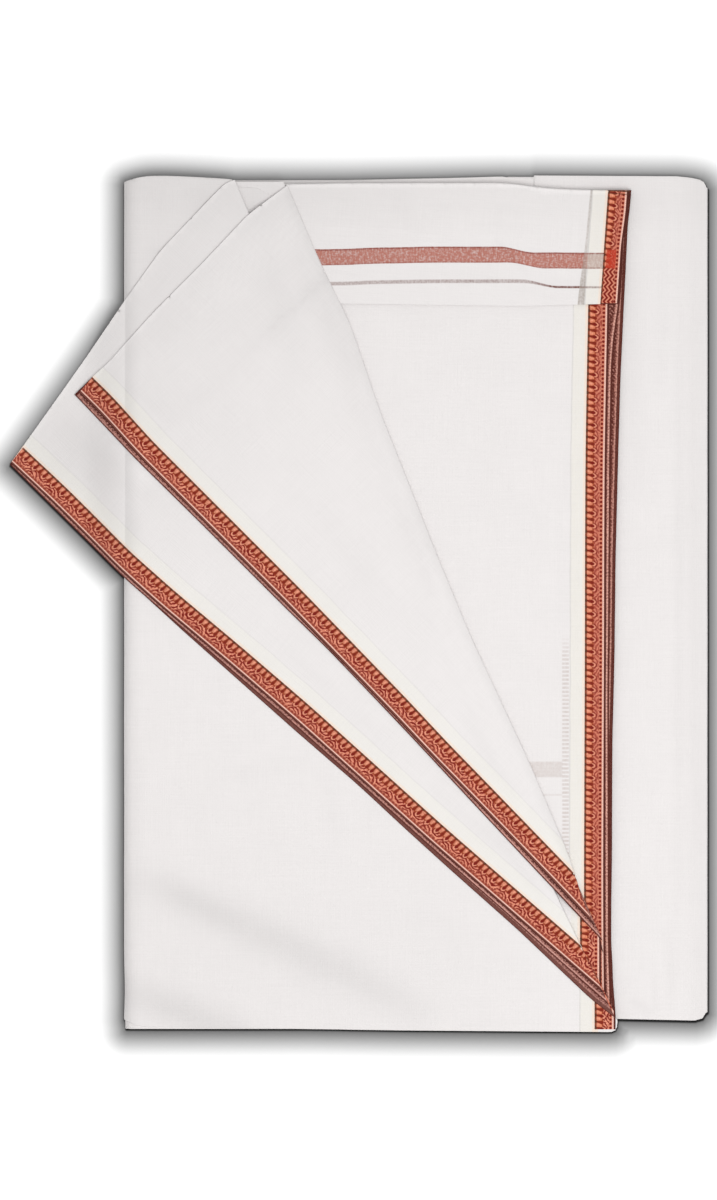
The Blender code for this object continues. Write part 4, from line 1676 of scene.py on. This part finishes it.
@dataclass
class UpperHalf:
    """The upper half of the pack: its hidden layers, and the stack of selvedges at their right."""

    fabrics: Fabrics
    base: float = 4.25
    seam_top: float = 7.0  # where its two bodies meet
    top: float = 9.9
    foot: float = -253.4
    seam: float = 134.4  # x of the lower body's right side
    stack_levels: tuple[float, ...] = (4.75, 5.3, 5.85, 6.4, 6.95)
    stack_insets: tuple[float, ...] = (1.6, 0.7, 1.9, 0.5, 1.2)

    def build(self) -> None:
        """Makes the layers and the selvedges."""
        seam = self.seam
        low = (
            (LEFT, self.foot), (seam, self.foot), (seam, 244.6), (110.0, 245.5), (90.0, 248.6),
            (20.0, 249.2), (LEFT, 250.4),
        )
        crease = SECOND_LINE.moved(6.0).part(26.0, SECOND_LINE.length - 8.0, 6.0)
        high = (
            (LEFT, self.foot), (124.0, self.foot), (126.5, -196.0), *map(tuple, crease),
            (-60.0, 247.6), (LEFT, 249.6),
        )
        ground = self.fabrics.ground
        for layers in (
            FoldedLayers("upper_layers", divided(low), self.base, self.seam_top, 6, ground, phase=1.0),
            FoldedLayers(
                "inner_layers", divided(high), self.seam_top, self.top, 5, ground, phase=2.2, slack=0.7
            ),
        ):
            layers.build("upper_fold")
        leaves = []
        for count, (top, inset) in enumerate(zip(self.stack_levels, self.stack_insets)):
            ends = (across_at(-253.2 + 0.4 * inset), across_at(246.0 - 0.5 * inset))
            edge = EndPanel.UNDER_LINE.moved(inset)
            leaves.append(under_leaf(f"selvedge_{count}", edge, ends, level(top),
                                     material=self.fabrics.under, pitch=4.0))
        stack = joined("selvedge_stack", [leaf.shape() for leaf in leaves])
        flat = (len(leaves) * BORDER_WIDTH, EndPanel.UNDER_LINE.length)
        declare_sheet(stack, flat, None)
        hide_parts("upper_fold_border")


@dataclass
class EndPanel:
    """The panel right of the creases: its ground, its border, and the border of the leaf below it."""

    fabrics: Fabrics
    hidden_left: float = 111.0  # how far left its ground runs under the flaps
    middle_top: float = 7.92
    under_top: float = 7.42
    BORDER_LINE = Line((
        (135.3, -253.4), (134.6, -203.0), (134.5, -158.9), (135.0, -30.0), (135.1, 28.0), (135.4, 88.0),
        (136.4, 148.0), (137.1, 178.0), (137.1, 246.0),
    )).softened(24.0)
    UNDER_LINE = Line((
        (153.4, -253.4), (153.3, -243.0), (152.7, -236.0), (152.3, -232.0), (151.6, -222.0),
        (151.6, -215.0), (150.7, -203.0), (150.8, -177.0), (151.2, -150.0), (151.3, -110.0),
        (151.5, -78.0), (151.9, -66.0), (152.7, -31.0), (153.4, 28.6), (154.9, 88.0), (155.8, 118.0),
        (156.2, 132.7), (158.3, 178.0), (159.2, 195.0), (159.9, 210.0), (160.6, 226.0), (161.8, 234.0),
        (162.7, 246.0),
    )).softened(6.0)
    MIDDLE_LINE = Line((
        (150.9, -253.4), (150.9, -242.0), (149.7, -203.0), (149.6, -150.0), (149.4, -60.0), (149.9, 2.0),
        (150.5, 91.0), (151.4, 138.6), (152.6, 156.5), (156.1, 180.0), (157.6, 203.0), (158.4, 246.0),
    )).softened(9.0)

    def build(self) -> None:
        """Makes the three pieces."""
        edge = self.BORDER_LINE
        crease = SECOND_LINE.moved(14.0).points
        crease = crease[crease[:, 0] < self.hidden_left - 2.0]
        hidden = Line([(self.hidden_left, -260.0), (self.hidden_left, crease[0][1] - 4.0), *crease])
        ends = (across_at(-253.3), across_at(245.4))
        creases = creases_from(
            (124.0, 170.0, 123.0, -30.0, 3.0, 0.12, 0.6), (120.0, 120.0, 119.4, -110.0, 1.6, 0.10, -0.5),
            (60.0, 96.0, 112.0, 44.0, 5.0, 0.10, 2.0), (84.0, -10.0, 118.0, -52.0, 5.0, 0.09, -2.0),
        )
        outline = strip_between(hidden, edge.moved(-LAP), *ends)
        panel = Leaf("end_panel_cloth", outline, level(END_TOP - LONG_LIFT), self.fabrics.sheer,
                     Slot.GROUND, edge, creases=creases)
        panel.build("end_panel", "upper_layers")
        strip = border_leaf("end_panel_border_cloth", edge, edge.moved(-BORDER_WIDTH), ends, level(END_TOP),
                            material=self.fabrics.border, pitch=1.8)
        strip.build("end_panel_border", "end_panel_cloth")
        ends = (across_at(-253.2), across_at(245.8))
        for name, outer, height, material in (
            ("end_panel_under_cloth", self.MIDDLE_LINE, self.middle_top, self.fabrics.under),
            ("end_panel_lower_cloth", self.UNDER_LINE, self.under_top, self.fabrics.lower_under),
        ):
            leaf = under_leaf(name, outer, ends, level(height), material=material, pitch=1.8, swell=0.05)
            leaf.build("end_panel_under_border", "selvedge_stack")


@dataclass
class EndTurnover:
    """The cut end of the cloth, turned down over the top of the end panel."""

    fabrics: Fabrics
    border_line: Corners = ((144.1, 177.5), (146.4, 212.0), (148.8, 245.7))
    fold: Corners = (
        (161.4, 245.6), (132.0, 245.9), (114.2, 246.7), (102.3, 248.1), (90.0, 249.7), (84.5, 250.0),
        (-5.0, 249.9), (-34.5, 249.4), (-43.0, 249.3),
    )
    cut_width: float = 10.9  # the border's shown width at the cut
    widens_by: float = 1.5
    widening: Pair = (32.0, 60.0)
    cut: Corners = ((-24.0, 178.4), (40.0, 177.4), (99.4, 176.7), (144.6, 177.9), (170.0, 178.0))

    def build(self) -> None:
        """Makes the ground and the border."""
        # The fold carries a painted highlight along its edge.
        fold = Roll(Line(self.fold).softened(6.0), 1.15, tail=3.0, tone=0.11, fade=0.6)
        flange = fold.flange()
        cut = Line(self.cut).softened(9.0)
        crease = SECOND_LINE.moved(1.0)
        edge = Line(self.border_line)
        right = edge.moved(-LAP)
        up_right = right.part(right.meet(cut), right.meet(flange), 3.0)
        along_fold = flange.part(flange.meet(right, last=False), flange.meet(crease), 3.0)
        down_left = crease.part(crease.meet(fold.line), crease.meet(cut, last=False), 3.0)
        along_cut = cut.part(cut.meet(crease, last=False), cut.meet(right), 3.0)
        outline = np.vstack([up_right, along_fold[1:], down_left, along_cut[1:-1]])
        creases = creases_from(
            (80.0, 218.0, 100.0, 197.0, 1.8, 0.50, 0.6), (56.0, 212.0, 92.0, 210.0, 3.0, 0.22, -0.8),
            (96.0, 192.0, 142.0, 190.5, 2.6, 0.26, 0.4), (20.0, 196.5, 96.0, 194.0, 3.4, 0.14, 0.8),
            (40.0, 236.0, 120.0, 232.0, 3.5, 0.15, 0.6), (60.0, 226.0, 116.0, 224.0, 3.0, 0.12, -0.6),
            (18.0, 245.0, 38.0, 216.0, 8.0, 0.22, 0.0), (134.0, 244.0, 132.0, 182.0, 1.2, 0.22, -0.5),
            (86.0, 188.0, 124.0, 179.5, 3.0, 0.18, 0.8),
        )
        panel = Leaf("end_turnover_cloth", outline, level(TURNOVER_TOP - LIFT), self.fabrics.stripes,
                     Slot.STRIPES, edge, pitch=2.2, rolls=(fold,), creases=creases)
        panel.build("end_turnover", "end_panel_cloth")
        runs = np.linspace(-10.0, edge.length + 10.0, 40)
        outer = Line(edge.at(runs)).moved(-self.width(runs))
        strip = border_leaf("end_turnover_border_cloth", edge, outer, (cut, flange), level(TURNOVER_TOP),
                            material=self.fabrics.turned, pitch=1.6, rolls=(fold,), shown_width=self.width)
        strip.build("end_turnover_border", "end_panel_border_cloth")

    def width(self, along: np.ndarray) -> np.ndarray:
        """The border's shown width along it: its loose lower part lies slightly on edge."""
        start, end = self.widening
        return self.cut_width + self.widens_by * eased((along - start) / (end - start))


@dataclass
class MiddlePanel:
    """The flat part of the narrow flap's pair of panels, seen between the two creases."""

    fabrics: Fabrics
    border_left: float = 132.1
    foot: float = -253.6
    head: float = 250.6

    def build(self) -> None:
        """Makes the ground and the border."""
        left = FIRST_LINE.moved(12.0)
        right = SECOND_LINE.moved(1.5)
        edge = upright_at(self.border_left)
        bottom, top = across_at(self.foot), across_at(self.head)
        to_border = right.meet(edge, last=False)
        up = right.part(to_border, right.meet(top), 3.0)
        down = left.part(left.meet(top), left.meet(bottom, last=False), 3.0)
        lapped = self.border_left + LAP
        outline = np.vstack([[(lapped, self.foot), (lapped, up[0][1])], up, down])
        panel = Leaf("middle_panel_cloth", outline, level(MIDDLE_TOP - LIFT), self.fabrics.ground,
                     Slot.GROUND, edge, pitch=3.5, measured=Line(right.points[[0, -1]]))
        panel.build("middle_panel", "inner_layers")
        strip = border_leaf("middle_panel_border_cloth", edge, edge.moved(-BORDER_WIDTH), (bottom, right),
                            level(MIDDLE_TOP), material=self.fabrics.front_border, pitch=1.8)
        strip.build("middle_panel_border", "end_panel_border_cloth")


@dataclass
class FrontPanel:
    """The flat part of the wide flap's pair of panels, which wraps round the pack's left fold."""

    fabrics: Fabrics
    border_left: float = 140.7
    bottom_edge: Corners = (
        (-162.0, -247.8), (-140.5, -248.2), (-136.4, -249.6), (-131.5, -251.6), (-118.0, -252.2),
        (-64.0, -252.9), (25.0, -254.2), (114.0, -254.9), (151.4, -255.2), (153.2, -254.5),
        (154.0, -253.2), (154.3, -250.8),
    )
    top_edge: Corners = (
        (-72.0, 251.6), (-79.1, 252.4), (-96.0, 253.4), (-114.8, 254.2), (-127.0, 254.0), (-134.0, 252.4),
        (-138.5, 250.8), (-162.0, 250.4),
    )

    def build(self) -> None:
        """Makes the ground and the border."""
        wrap = Wrap(LEFT, PACK_TOP / 2.0, -1)
        low = Roll(Line(self.bottom_edge).softened(2.0, 1.0), 0.5)
        high = Roll(Line(self.top_edge).softened(6.0, 2.0), 0.5)
        crease = FIRST_LINE.moved(1.5)
        underside = wrap.under(8.0)
        upper = crease.part(crease.meet(across_at(-247.0), last=False), crease.meet(high.line), 3.0)
        outline = np.vstack([
            low.flange().part(0.0, low.flange().length - 0.5, 2.0),
            [(154.4, -249.0), (154.0, -247.4)],
            upper,
            high.flange().part(1.5, high.flange().length, 3.0),
            [(underside, 249.0), (underside, -248.4)],
        ])
        outline = outline[outline[:, 0] >= underside - 0.01]
        creases = creases_from(
            (-116.0, -12.0, -115.6, -40.0, 0.9, -0.30, 0.4),
            (-113.6, -26.0, -110.8, -56.0, 0.8, -0.22, 0.5),
            (-110.6, -76.0, -110.2, -96.0, 1.0, -0.28, 0.3),
            (-113.4, -80.0, -112.6, -98.0, 0.8, -0.16, 0.2),
            (-139.0, -162.0, 50.0, -250.0, 12.0, 0.95, 3.0),
            (-156.0, -224.0, -44.0, -272.0, 11.0, 1.10, 2.0),
            (-132.0, -160.0, -66.0, -196.0, 8.0, 0.40, 1.0), (30.0, -176.0, 62.0, -206.0, 9.0, 0.12, 0.0),
            (-96.0, -110.0, -40.0, -96.0, 7.0, 0.20, 3.0), (-20.0, -96.0, -14.0, -150.0, 5.0, 0.16, 2.0),
            (-128.0, 212.0, -96.0, 200.0, 5.0, 0.30, 0.0), (-104.0, 246.0, -70.0, 224.0, 7.0, 0.30, 2.0),
            (-132.0, -58.0, -131.0, -200.0, 3.0, 0.25, 0.6),
        )
        edge = upright_at(self.border_left)
        panel = Leaf("front_panel_cloth", outline, level(PACK_TOP), self.fabrics.ground, Slot.GROUND, edge,
                     rolls=(low, high), wrap=wrap, creases=creases, swell=0.09)
        panel.build("front_panel", "inner_layers", "lower_layers")
        ends = (across_at(-253.5), FIRST_LINE.moved(-0.6))
        top = level(PACK_TOP + LIFT)
        strip = border_leaf("front_panel_border_cloth", edge, edge.moved(-BORDER_WIDTH), ends, top,
                            material=self.fabrics.front_border, pitch=1.6, thickness=0.3)
        strip.build("front_panel_border", "front_panel_cloth")


@dataclass(frozen=True)
class UnderLeaf:
    """The border of a leaf that lies below a flap and shows past it."""

    edge: Line  # its outer edge, from the tip to the crease
    start: Line  # cuts it off at the tip
    lift: float  # of its top above the flap's base
    thickness: float


@dataclass
class Flap:
    """A pair of panels turned back over a crease: the ground, its border and the borders below."""

    fabrics: Fabrics
    name: str
    border_material: bpy.types.Material
    crease: Roll
    border_line: Line  # inner edge of the border, from the tip to the crease
    top_edge: Line  # from the crease to the tip's outer corner
    unders: Sequence[UnderLeaf]
    base: Height
    lies_on: str
    creases: Sequence[Crease]
    tip_width: float = 11.9  # shown width of the border at the tip
    full_width: float = 12.4
    widening: Pair = (60.0, 130.0)  # where along it it starts and ends to widen
    edge_droop: float = 0.45
    top_droop: float = 0.4

    def width(self, along: np.ndarray) -> np.ndarray:
        """The border's shown width at a distance along it."""
        start, end = self.widening
        return self.tip_width + (self.full_width - self.tip_width) * eased((along - start) / (end - start))

    def top(self, plan: Points) -> np.ndarray:
        """The flap's upper face: full on its ground, lower at its loose border and at its upper fold.

        Args:
            plan: the points.

        Returns:
            Its height at each.
        """
        within = self.border_line.locate(plan)[1] + self.full_width
        below_fold = self.top_edge.locate(plan)[1]
        droop = np.maximum(self.edge_droop * (1.0 - eased(within / 20.0)),
                           self.top_droop * (1.0 - eased(below_fold / 16.0)))
        return self.base(plan) + FLAP_WALL - droop

    def build(self) -> None:
        """Makes the pieces."""
        edge = self.border_line
        flange = self.crease.flange()
        # The upper fold carries a painted highlight along its edge.
        fold = Roll(self.top_edge, 0.25, tone=0.09)
        top_flange = fold.flange()
        inner = edge.moved(-LAP)
        along_border = inner.part(inner.meet(self.top_edge, last=False), inner.meet(flange), 3.0)
        reach = self.crease.reach
        up_crease = flange.part(flange.meet(inner, last=False), flange.length - 1.2 * reach, 2.5)
        end = top_flange.meet(inner)
        down_top = top_flange.part(1.4 * reach, end - 0.8, 2.5)
        corner = self.crease.line.at([self.crease.line.length])
        outline = np.vstack([along_border, up_crease[1:], corner, down_top])
        ground = Leaf(f"{self.name}_cloth", outline, lambda plan: self.top(plan) - LONG_LIFT,
                      self.fabrics.flap_ground, Slot.GROUND, edge, rolls=(self.crease, fold),
                      creases=self.creases)
        ground.build(self.name, self.lies_on)

        runs = np.linspace(-4.0, edge.length + 50.0, round(edge.length / 3.0))
        outer = Line(edge.at(runs)).moved(-self.width(runs))
        strip = border_leaf(f"{self.name}_border_cloth", edge, outer, (self.top_edge, flange), self.top,
                            material=self.border_material, pitch=1.8, rolls=(self.crease,),
                            shown_width=self.width)
        strip.build(f"{self.name}_border", self.lies_on)

        dresses = (self.fabrics.flap_under, self.fabrics.flap_outer)
        for count, (under, dress) in enumerate(zip(self.unders, dresses), start=1):
            leaf = under_leaf(f"{self.name}_under_cloth_{count}", under.edge,
                              (under.start, self.crease.line.moved(0.3)),
                              lambda plan, lift=under.lift: self.base(plan) + lift,
                              material=dress, pitch=1.8, thickness=under.thickness, swell=0.03)
            leaf.build(f"{self.name}_under_border", self.lies_on)


def wide_flap(fabrics: Fabrics) -> Flap:
    """The wide flap, turned back on the first crease, its tip on the floor left of the pack.

    Args:
        fabrics: the shared finishes.

    Returns:
        The flap, not yet built.
    """
    inner = Line((
        (-200.3, 93.4), (-174.0, 68.8), (-136.0, 31.0), (-109.3, 7.3), (-68.2, -27.1), (-27.6, -62.0),
        (12.2, -97.9), (52.0, -133.7), (92.4, -168.8), (131.0, -202.3),
    ))
    outer = Line((
        (-207.7, 82.7), (-139.2, 14.8), (-132.0, 9.0), (-105.7, -15.1), (-78.7, -39.1), (-38.7, -74.7),
        (1.8, -109.8), (27.9, -134.1), (54.3, -158.1), (94.4, -193.7), (139.2, -236.2), (152.0, -246.0),
    )).softened(9.0)
    middle = Line((
        (-207.7, 82.7), (-140.0, 15.8), (-119.0, -2.6), (-77.8, -38.0), (-37.2, -73.0), (2.5, -108.6),
        (42.2, -144.3), (82.7, -179.6), (130.0, -222.0), (146.0, -236.0),
    )).softened(9.0)
    tip = Line(((-190.0, 106.7), (-207.9, 82.5), (-226.0, 58.0)))
    pack_side = Line(((-124.0, 20.0), (-132.0, 0.0)))
    return Flap(
        fabrics,
        "wide_flap",
        fabrics.wide_border,
        Roll(FIRST_LINE, 1.1),
        inner.softened(12.0),
        Line((
            (-73.2, 251.7), (-77.9, 251.1), (-117.2, 210.0), (-136.8, 182.7), (-172.0, 132.7),
            (-200.5, 92.7), (-207.8, 82.6),
        )).softened(6.0),
        (UnderLeaf(middle, tip, 0.5, THREAD), UnderLeaf(outer, pack_side, 0.08, 0.34)),
        wide_flap_base,
        "front_panel_cloth",
        creases_from(
            (-150.0, 150.0, -96.0, 212.0, 7.0, 0.16, 3.0), (-176.0, 112.0, -120.0, 60.0, 7.0, 0.30, -3.0),
            (-132.0, 60.0, -132.0, 30.0, 5.0, 0.25, 0.0), (-182.0, 112.0, -134.0, 36.0, 9.0, 0.34, 0.0),
            (-136.0, 86.0, -128.0, 66.0, 7.0, -0.35, 0.0), (-60.0, -16.0, 20.0, -86.0, 4.5, 0.18, 1.5),
            (40.0, -106.0, 96.0, -152.0, 4.0, 0.22, -1.0), (72.0, -130.0, 112.0, -178.0, 2.5, 0.25, 1.0),
        ),
    )


def narrow_flap(fabrics: Fabrics) -> Flap:
    """The narrow flap, turned back on the second crease over the wide one.

    Args:
        fabrics: the shared finishes.

    Returns:
        The flap, not yet built.
    """
    inner = Line((
        (-158.9, 135.2), (-145.8, 122.4), (-121.8, 95.9), (-83.9, 58.0), (-33.4, 7.5), (-8.6, -18.1),
        (28.6, -56.6), (53.0, -82.7), (77.9, -108.3), (126.1, -158.1), (129.0, -161.2),
    ))
    outer = Line((
        (-169.0, 124.2), (-132.2, 85.6), (-94.1, 48.0), (-43.7, -2.4), (-18.2, -27.3), (6.5, -53.1),
        (31.1, -79.0), (67.6, -118.2), (105.0, -158.1), (142.2, -197.5),
    ))
    tip = Line(((-150.0, 143.0), (-168.8, 124.4), (-188.0, 105.0)))
    return Flap(
        fabrics,
        "narrow_flap",
        fabrics.narrow_border,
        # The second crease carries painted shade beside its fold.
        Roll(SECOND_LINE, 1.2, tone=-0.05, fade=4.5),
        inner.softened(9.0),
        Line((
            (-41.9, 248.7), (-66.0, 230.3), (-93.4, 201.1), (-120.8, 173.7), (-148.2, 143.4),
            (-158.9, 134.5), (-165.6, 127.2),
        )).softened(6.0),
        (UnderLeaf(outer.softened(9.0), tip, 0.5, THREAD),),
        narrow_flap_base,
        "wide_flap_cloth",
        creases_from(
            (-58.0, 238.0, -34.0, 130.0, 9.0, 0.30, -3.0), (-22.0, 196.0, 2.0, 132.0, 6.0, 0.30, -1.0),
            (-46.0, 250.0, 22.0, 70.0, 11.0, 0.42, -3.0), (14.0, 78.0, 44.0, 14.0, 8.0, 0.32, 1.0),
            (36.0, 22.0, 46.0, 2.0, 5.0, 0.30, 0.0), (-148.0, 134.0, -104.0, 104.0, 4.5, 0.16, 2.0),
            (-140.0, 146.0, -96.0, 176.0, 7.0, 0.10, -2.0),
            (-120.0, 130.0, -40.0, 150.0, 16.0, -0.12, 4.0), (-30.0, 60.0, 20.0, -10.0, 8.0, 0.22, 3.0),
            (60.0, -60.0, 96.0, -118.0, 4.0, 0.25, -1.0),
        ),
        tip_width=12.2,
    )


@dataclass
class Floor:
    """The studio's floor, which knows how far each of its points is from the pack, for its painted shadow.
    """

    half_width: float = 6000.0
    near: float = 286.0  # how far out its grid is fine
    pitch: float = 4.0
    coarse: Pair = (500.0, 1200.0)  # where its grid's lines lie beyond that
    split: int = 6  # how many times finer it is right beside the pack
    shade_shift: Pair = (0.9, -1.7)  # how far the pack's painted soft shadow is thrown
    touch_shift: Pair = (0.4, -1.1)
    below: float = 0.2  # under the pack's underside

    def build(self, pieces: Sequence[bpy.types.Object]) -> None:
        """Makes the floor.

        Args:
            pieces: what lies on it.
        """
        pack = self.flattened(pieces)
        fine = np.arange(-self.near, self.near + 0.1, self.pitch)
        coarse = np.array([*self.coarse, self.half_width])
        ticks = np.concatenate((-coarse[::-1], fine, coarse))
        low = np.stack(np.meshgrid(ticks[:-1], ticks[:-1], indexing="ij"), axis=-1)
        high = np.stack(np.meshgrid(ticks[1:], ticks[1:], indexing="ij"), axis=-1)
        gaps = self.gaps(pack, ((low + high) / 2.0).reshape(-1, 2)).reshape(low.shape[:2])
        padded = np.pad(gaps, 1, mode="edge")
        count = len(gaps)
        widest = np.max([padded[i : i + count, j : j + count] for i in range(3) for j in range(3)], axis=0)
        beside = (gaps < 1.2 * self.pitch) & (widest > 0.0)
        size = (high - low)[beside] / self.split
        steps = np.stack(np.meshgrid(range(self.split), range(self.split)), axis=-1).reshape(-1, 2)
        starts = low[beside][:, None] + steps[None] * size[:, None]
        finer = self.quads(starts.reshape(-1, 2), (starts + size[:, None]).reshape(-1, 2))
        corners = np.vstack([self.quads(low[~beside], high[~beside]), finer]).reshape(-1, 2)
        plan, faces = np.unique(np.round(corners, 3), axis=0, return_inverse=True)
        points = np.column_stack([plan, np.full(len(plan), -self.below)])
        floor = new_piece("floor", points, faces.reshape(-1, 4), PaleFloor().material())
        for name, shift in ((CLEARANCE, self.shade_shift), (TOUCH, self.touch_shift)):
            attribute = floor.data.attributes.new(name, "FLOAT", "POINT")
            attribute.data.foreach_set("value", self.gaps(pack, plan - shift).astype(np.float32))
        LOG.info("floor: %d faces", len(floor.data.polygons))

    def quads(self, low: Points, high: Points) -> np.ndarray:
        """The corners of upright rectangles, from their lowest and highest ones."""
        return np.stack([low, np.column_stack([high[:, 0], low[:, 1]]), high,
                         np.column_stack([low[:, 0], high[:, 1]])], axis=1)

    def gaps(self, pack: BVHTree, plan: Points) -> np.ndarray:
        """How far plan points are from the pack, 0 under it."""
        return np.array([pack.find_nearest((x, y, 0.0))[3] for x, y in plan])

    def flattened(self, pieces: Sequence[bpy.types.Object]) -> BVHTree:
        """The pieces' upper faces, pressed flat, in millimetres.

        Args:
            pieces: the objects.

        Returns:
            A tree of their faces, for finding the nearest.
        """
        corners: list[tuple[float, float, float]] = []
        faces: list[list[int]] = []
        for piece in pieces:
            first = len(corners)
            corners += [(corner.co.x / MM, corner.co.y / MM, 0.0) for corner in piece.data.vertices]
            for face in piece.data.polygons:
                if face.normal.z > 0.0:
                    faces.append([first + i for i in face.vertices])
        return BVHTree.FromPolygons(corners, faces)


@dataclass
class Studio:
    """The camera straight above and soft light."""

    centre: Pair = (0.3, 1.8)  # the point below the camera
    frame_height: float = 714.0  # what the frame takes in at the height of the cloth
    cloth_height: float = 9.0
    lens: float = 180.0
    sensor: float = 36.0
    sky: float = 0.59
    key_power: float = 28.4
    key_size: float = 1.4
    key_place: tuple[float, float, float] = (0.42, -0.36, 2.0)

    def build(self) -> None:
        """Sets up the camera and light."""
        scene = bpy.context.scene
        scene.view_settings.view_transform = "Standard"
        data = bpy.data.cameras.new("camera")
        data.lens = self.lens
        data.sensor_width = self.sensor
        data.clip_end = 50.0
        camera = bpy.data.objects.new("camera", data)
        distance = self.lens / self.sensor * self.frame_height
        camera.location = (self.centre[0] * MM, self.centre[1] * MM, (distance + self.cloth_height) * MM)
        scene.collection.objects.link(camera)
        scene.camera = camera

        key = bpy.data.lights.new("key", "AREA")
        key.energy = self.key_power
        key.size = self.key_size
        lamp = bpy.data.objects.new("key", key)
        lamp.location = self.key_place
        lamp.rotation_euler = (-Vector(self.key_place)).to_track_quat("-Z", "Y").to_euler()
        scene.collection.objects.link(lamp)

        world = bpy.data.worlds.new("studio")
        world.use_nodes = True
        background = world.node_tree.nodes["Background"]
        background.inputs["Color"].default_value = (1.0, 1.0, 1.0, 1.0)
        background.inputs["Strength"].default_value = self.sky
        scene.world = world


def main() -> None:
    """Builds the cloth and the studio, and reports each piece."""
    fabrics = Fabrics()
    Studio().build()
    before = set(bpy.data.objects)
    for part in (
        LowerHalf(fabrics),
        UpperHalf(fabrics),
        EndPanel(fabrics),
        EndTurnover(fabrics),
        MiddlePanel(fabrics),
        FrontPanel(fabrics),
        wide_flap(fabrics),
        narrow_flap(fabrics),
    ):
        LOG.info("building %s", type(part).__name__)
        part.build()
    Floor().build([piece for piece in bpy.data.objects if piece not in before])


if __name__ == "__main__":
    logging.basicConfig(level=logging.INFO, format="%(name)s %(message)s")
    main()
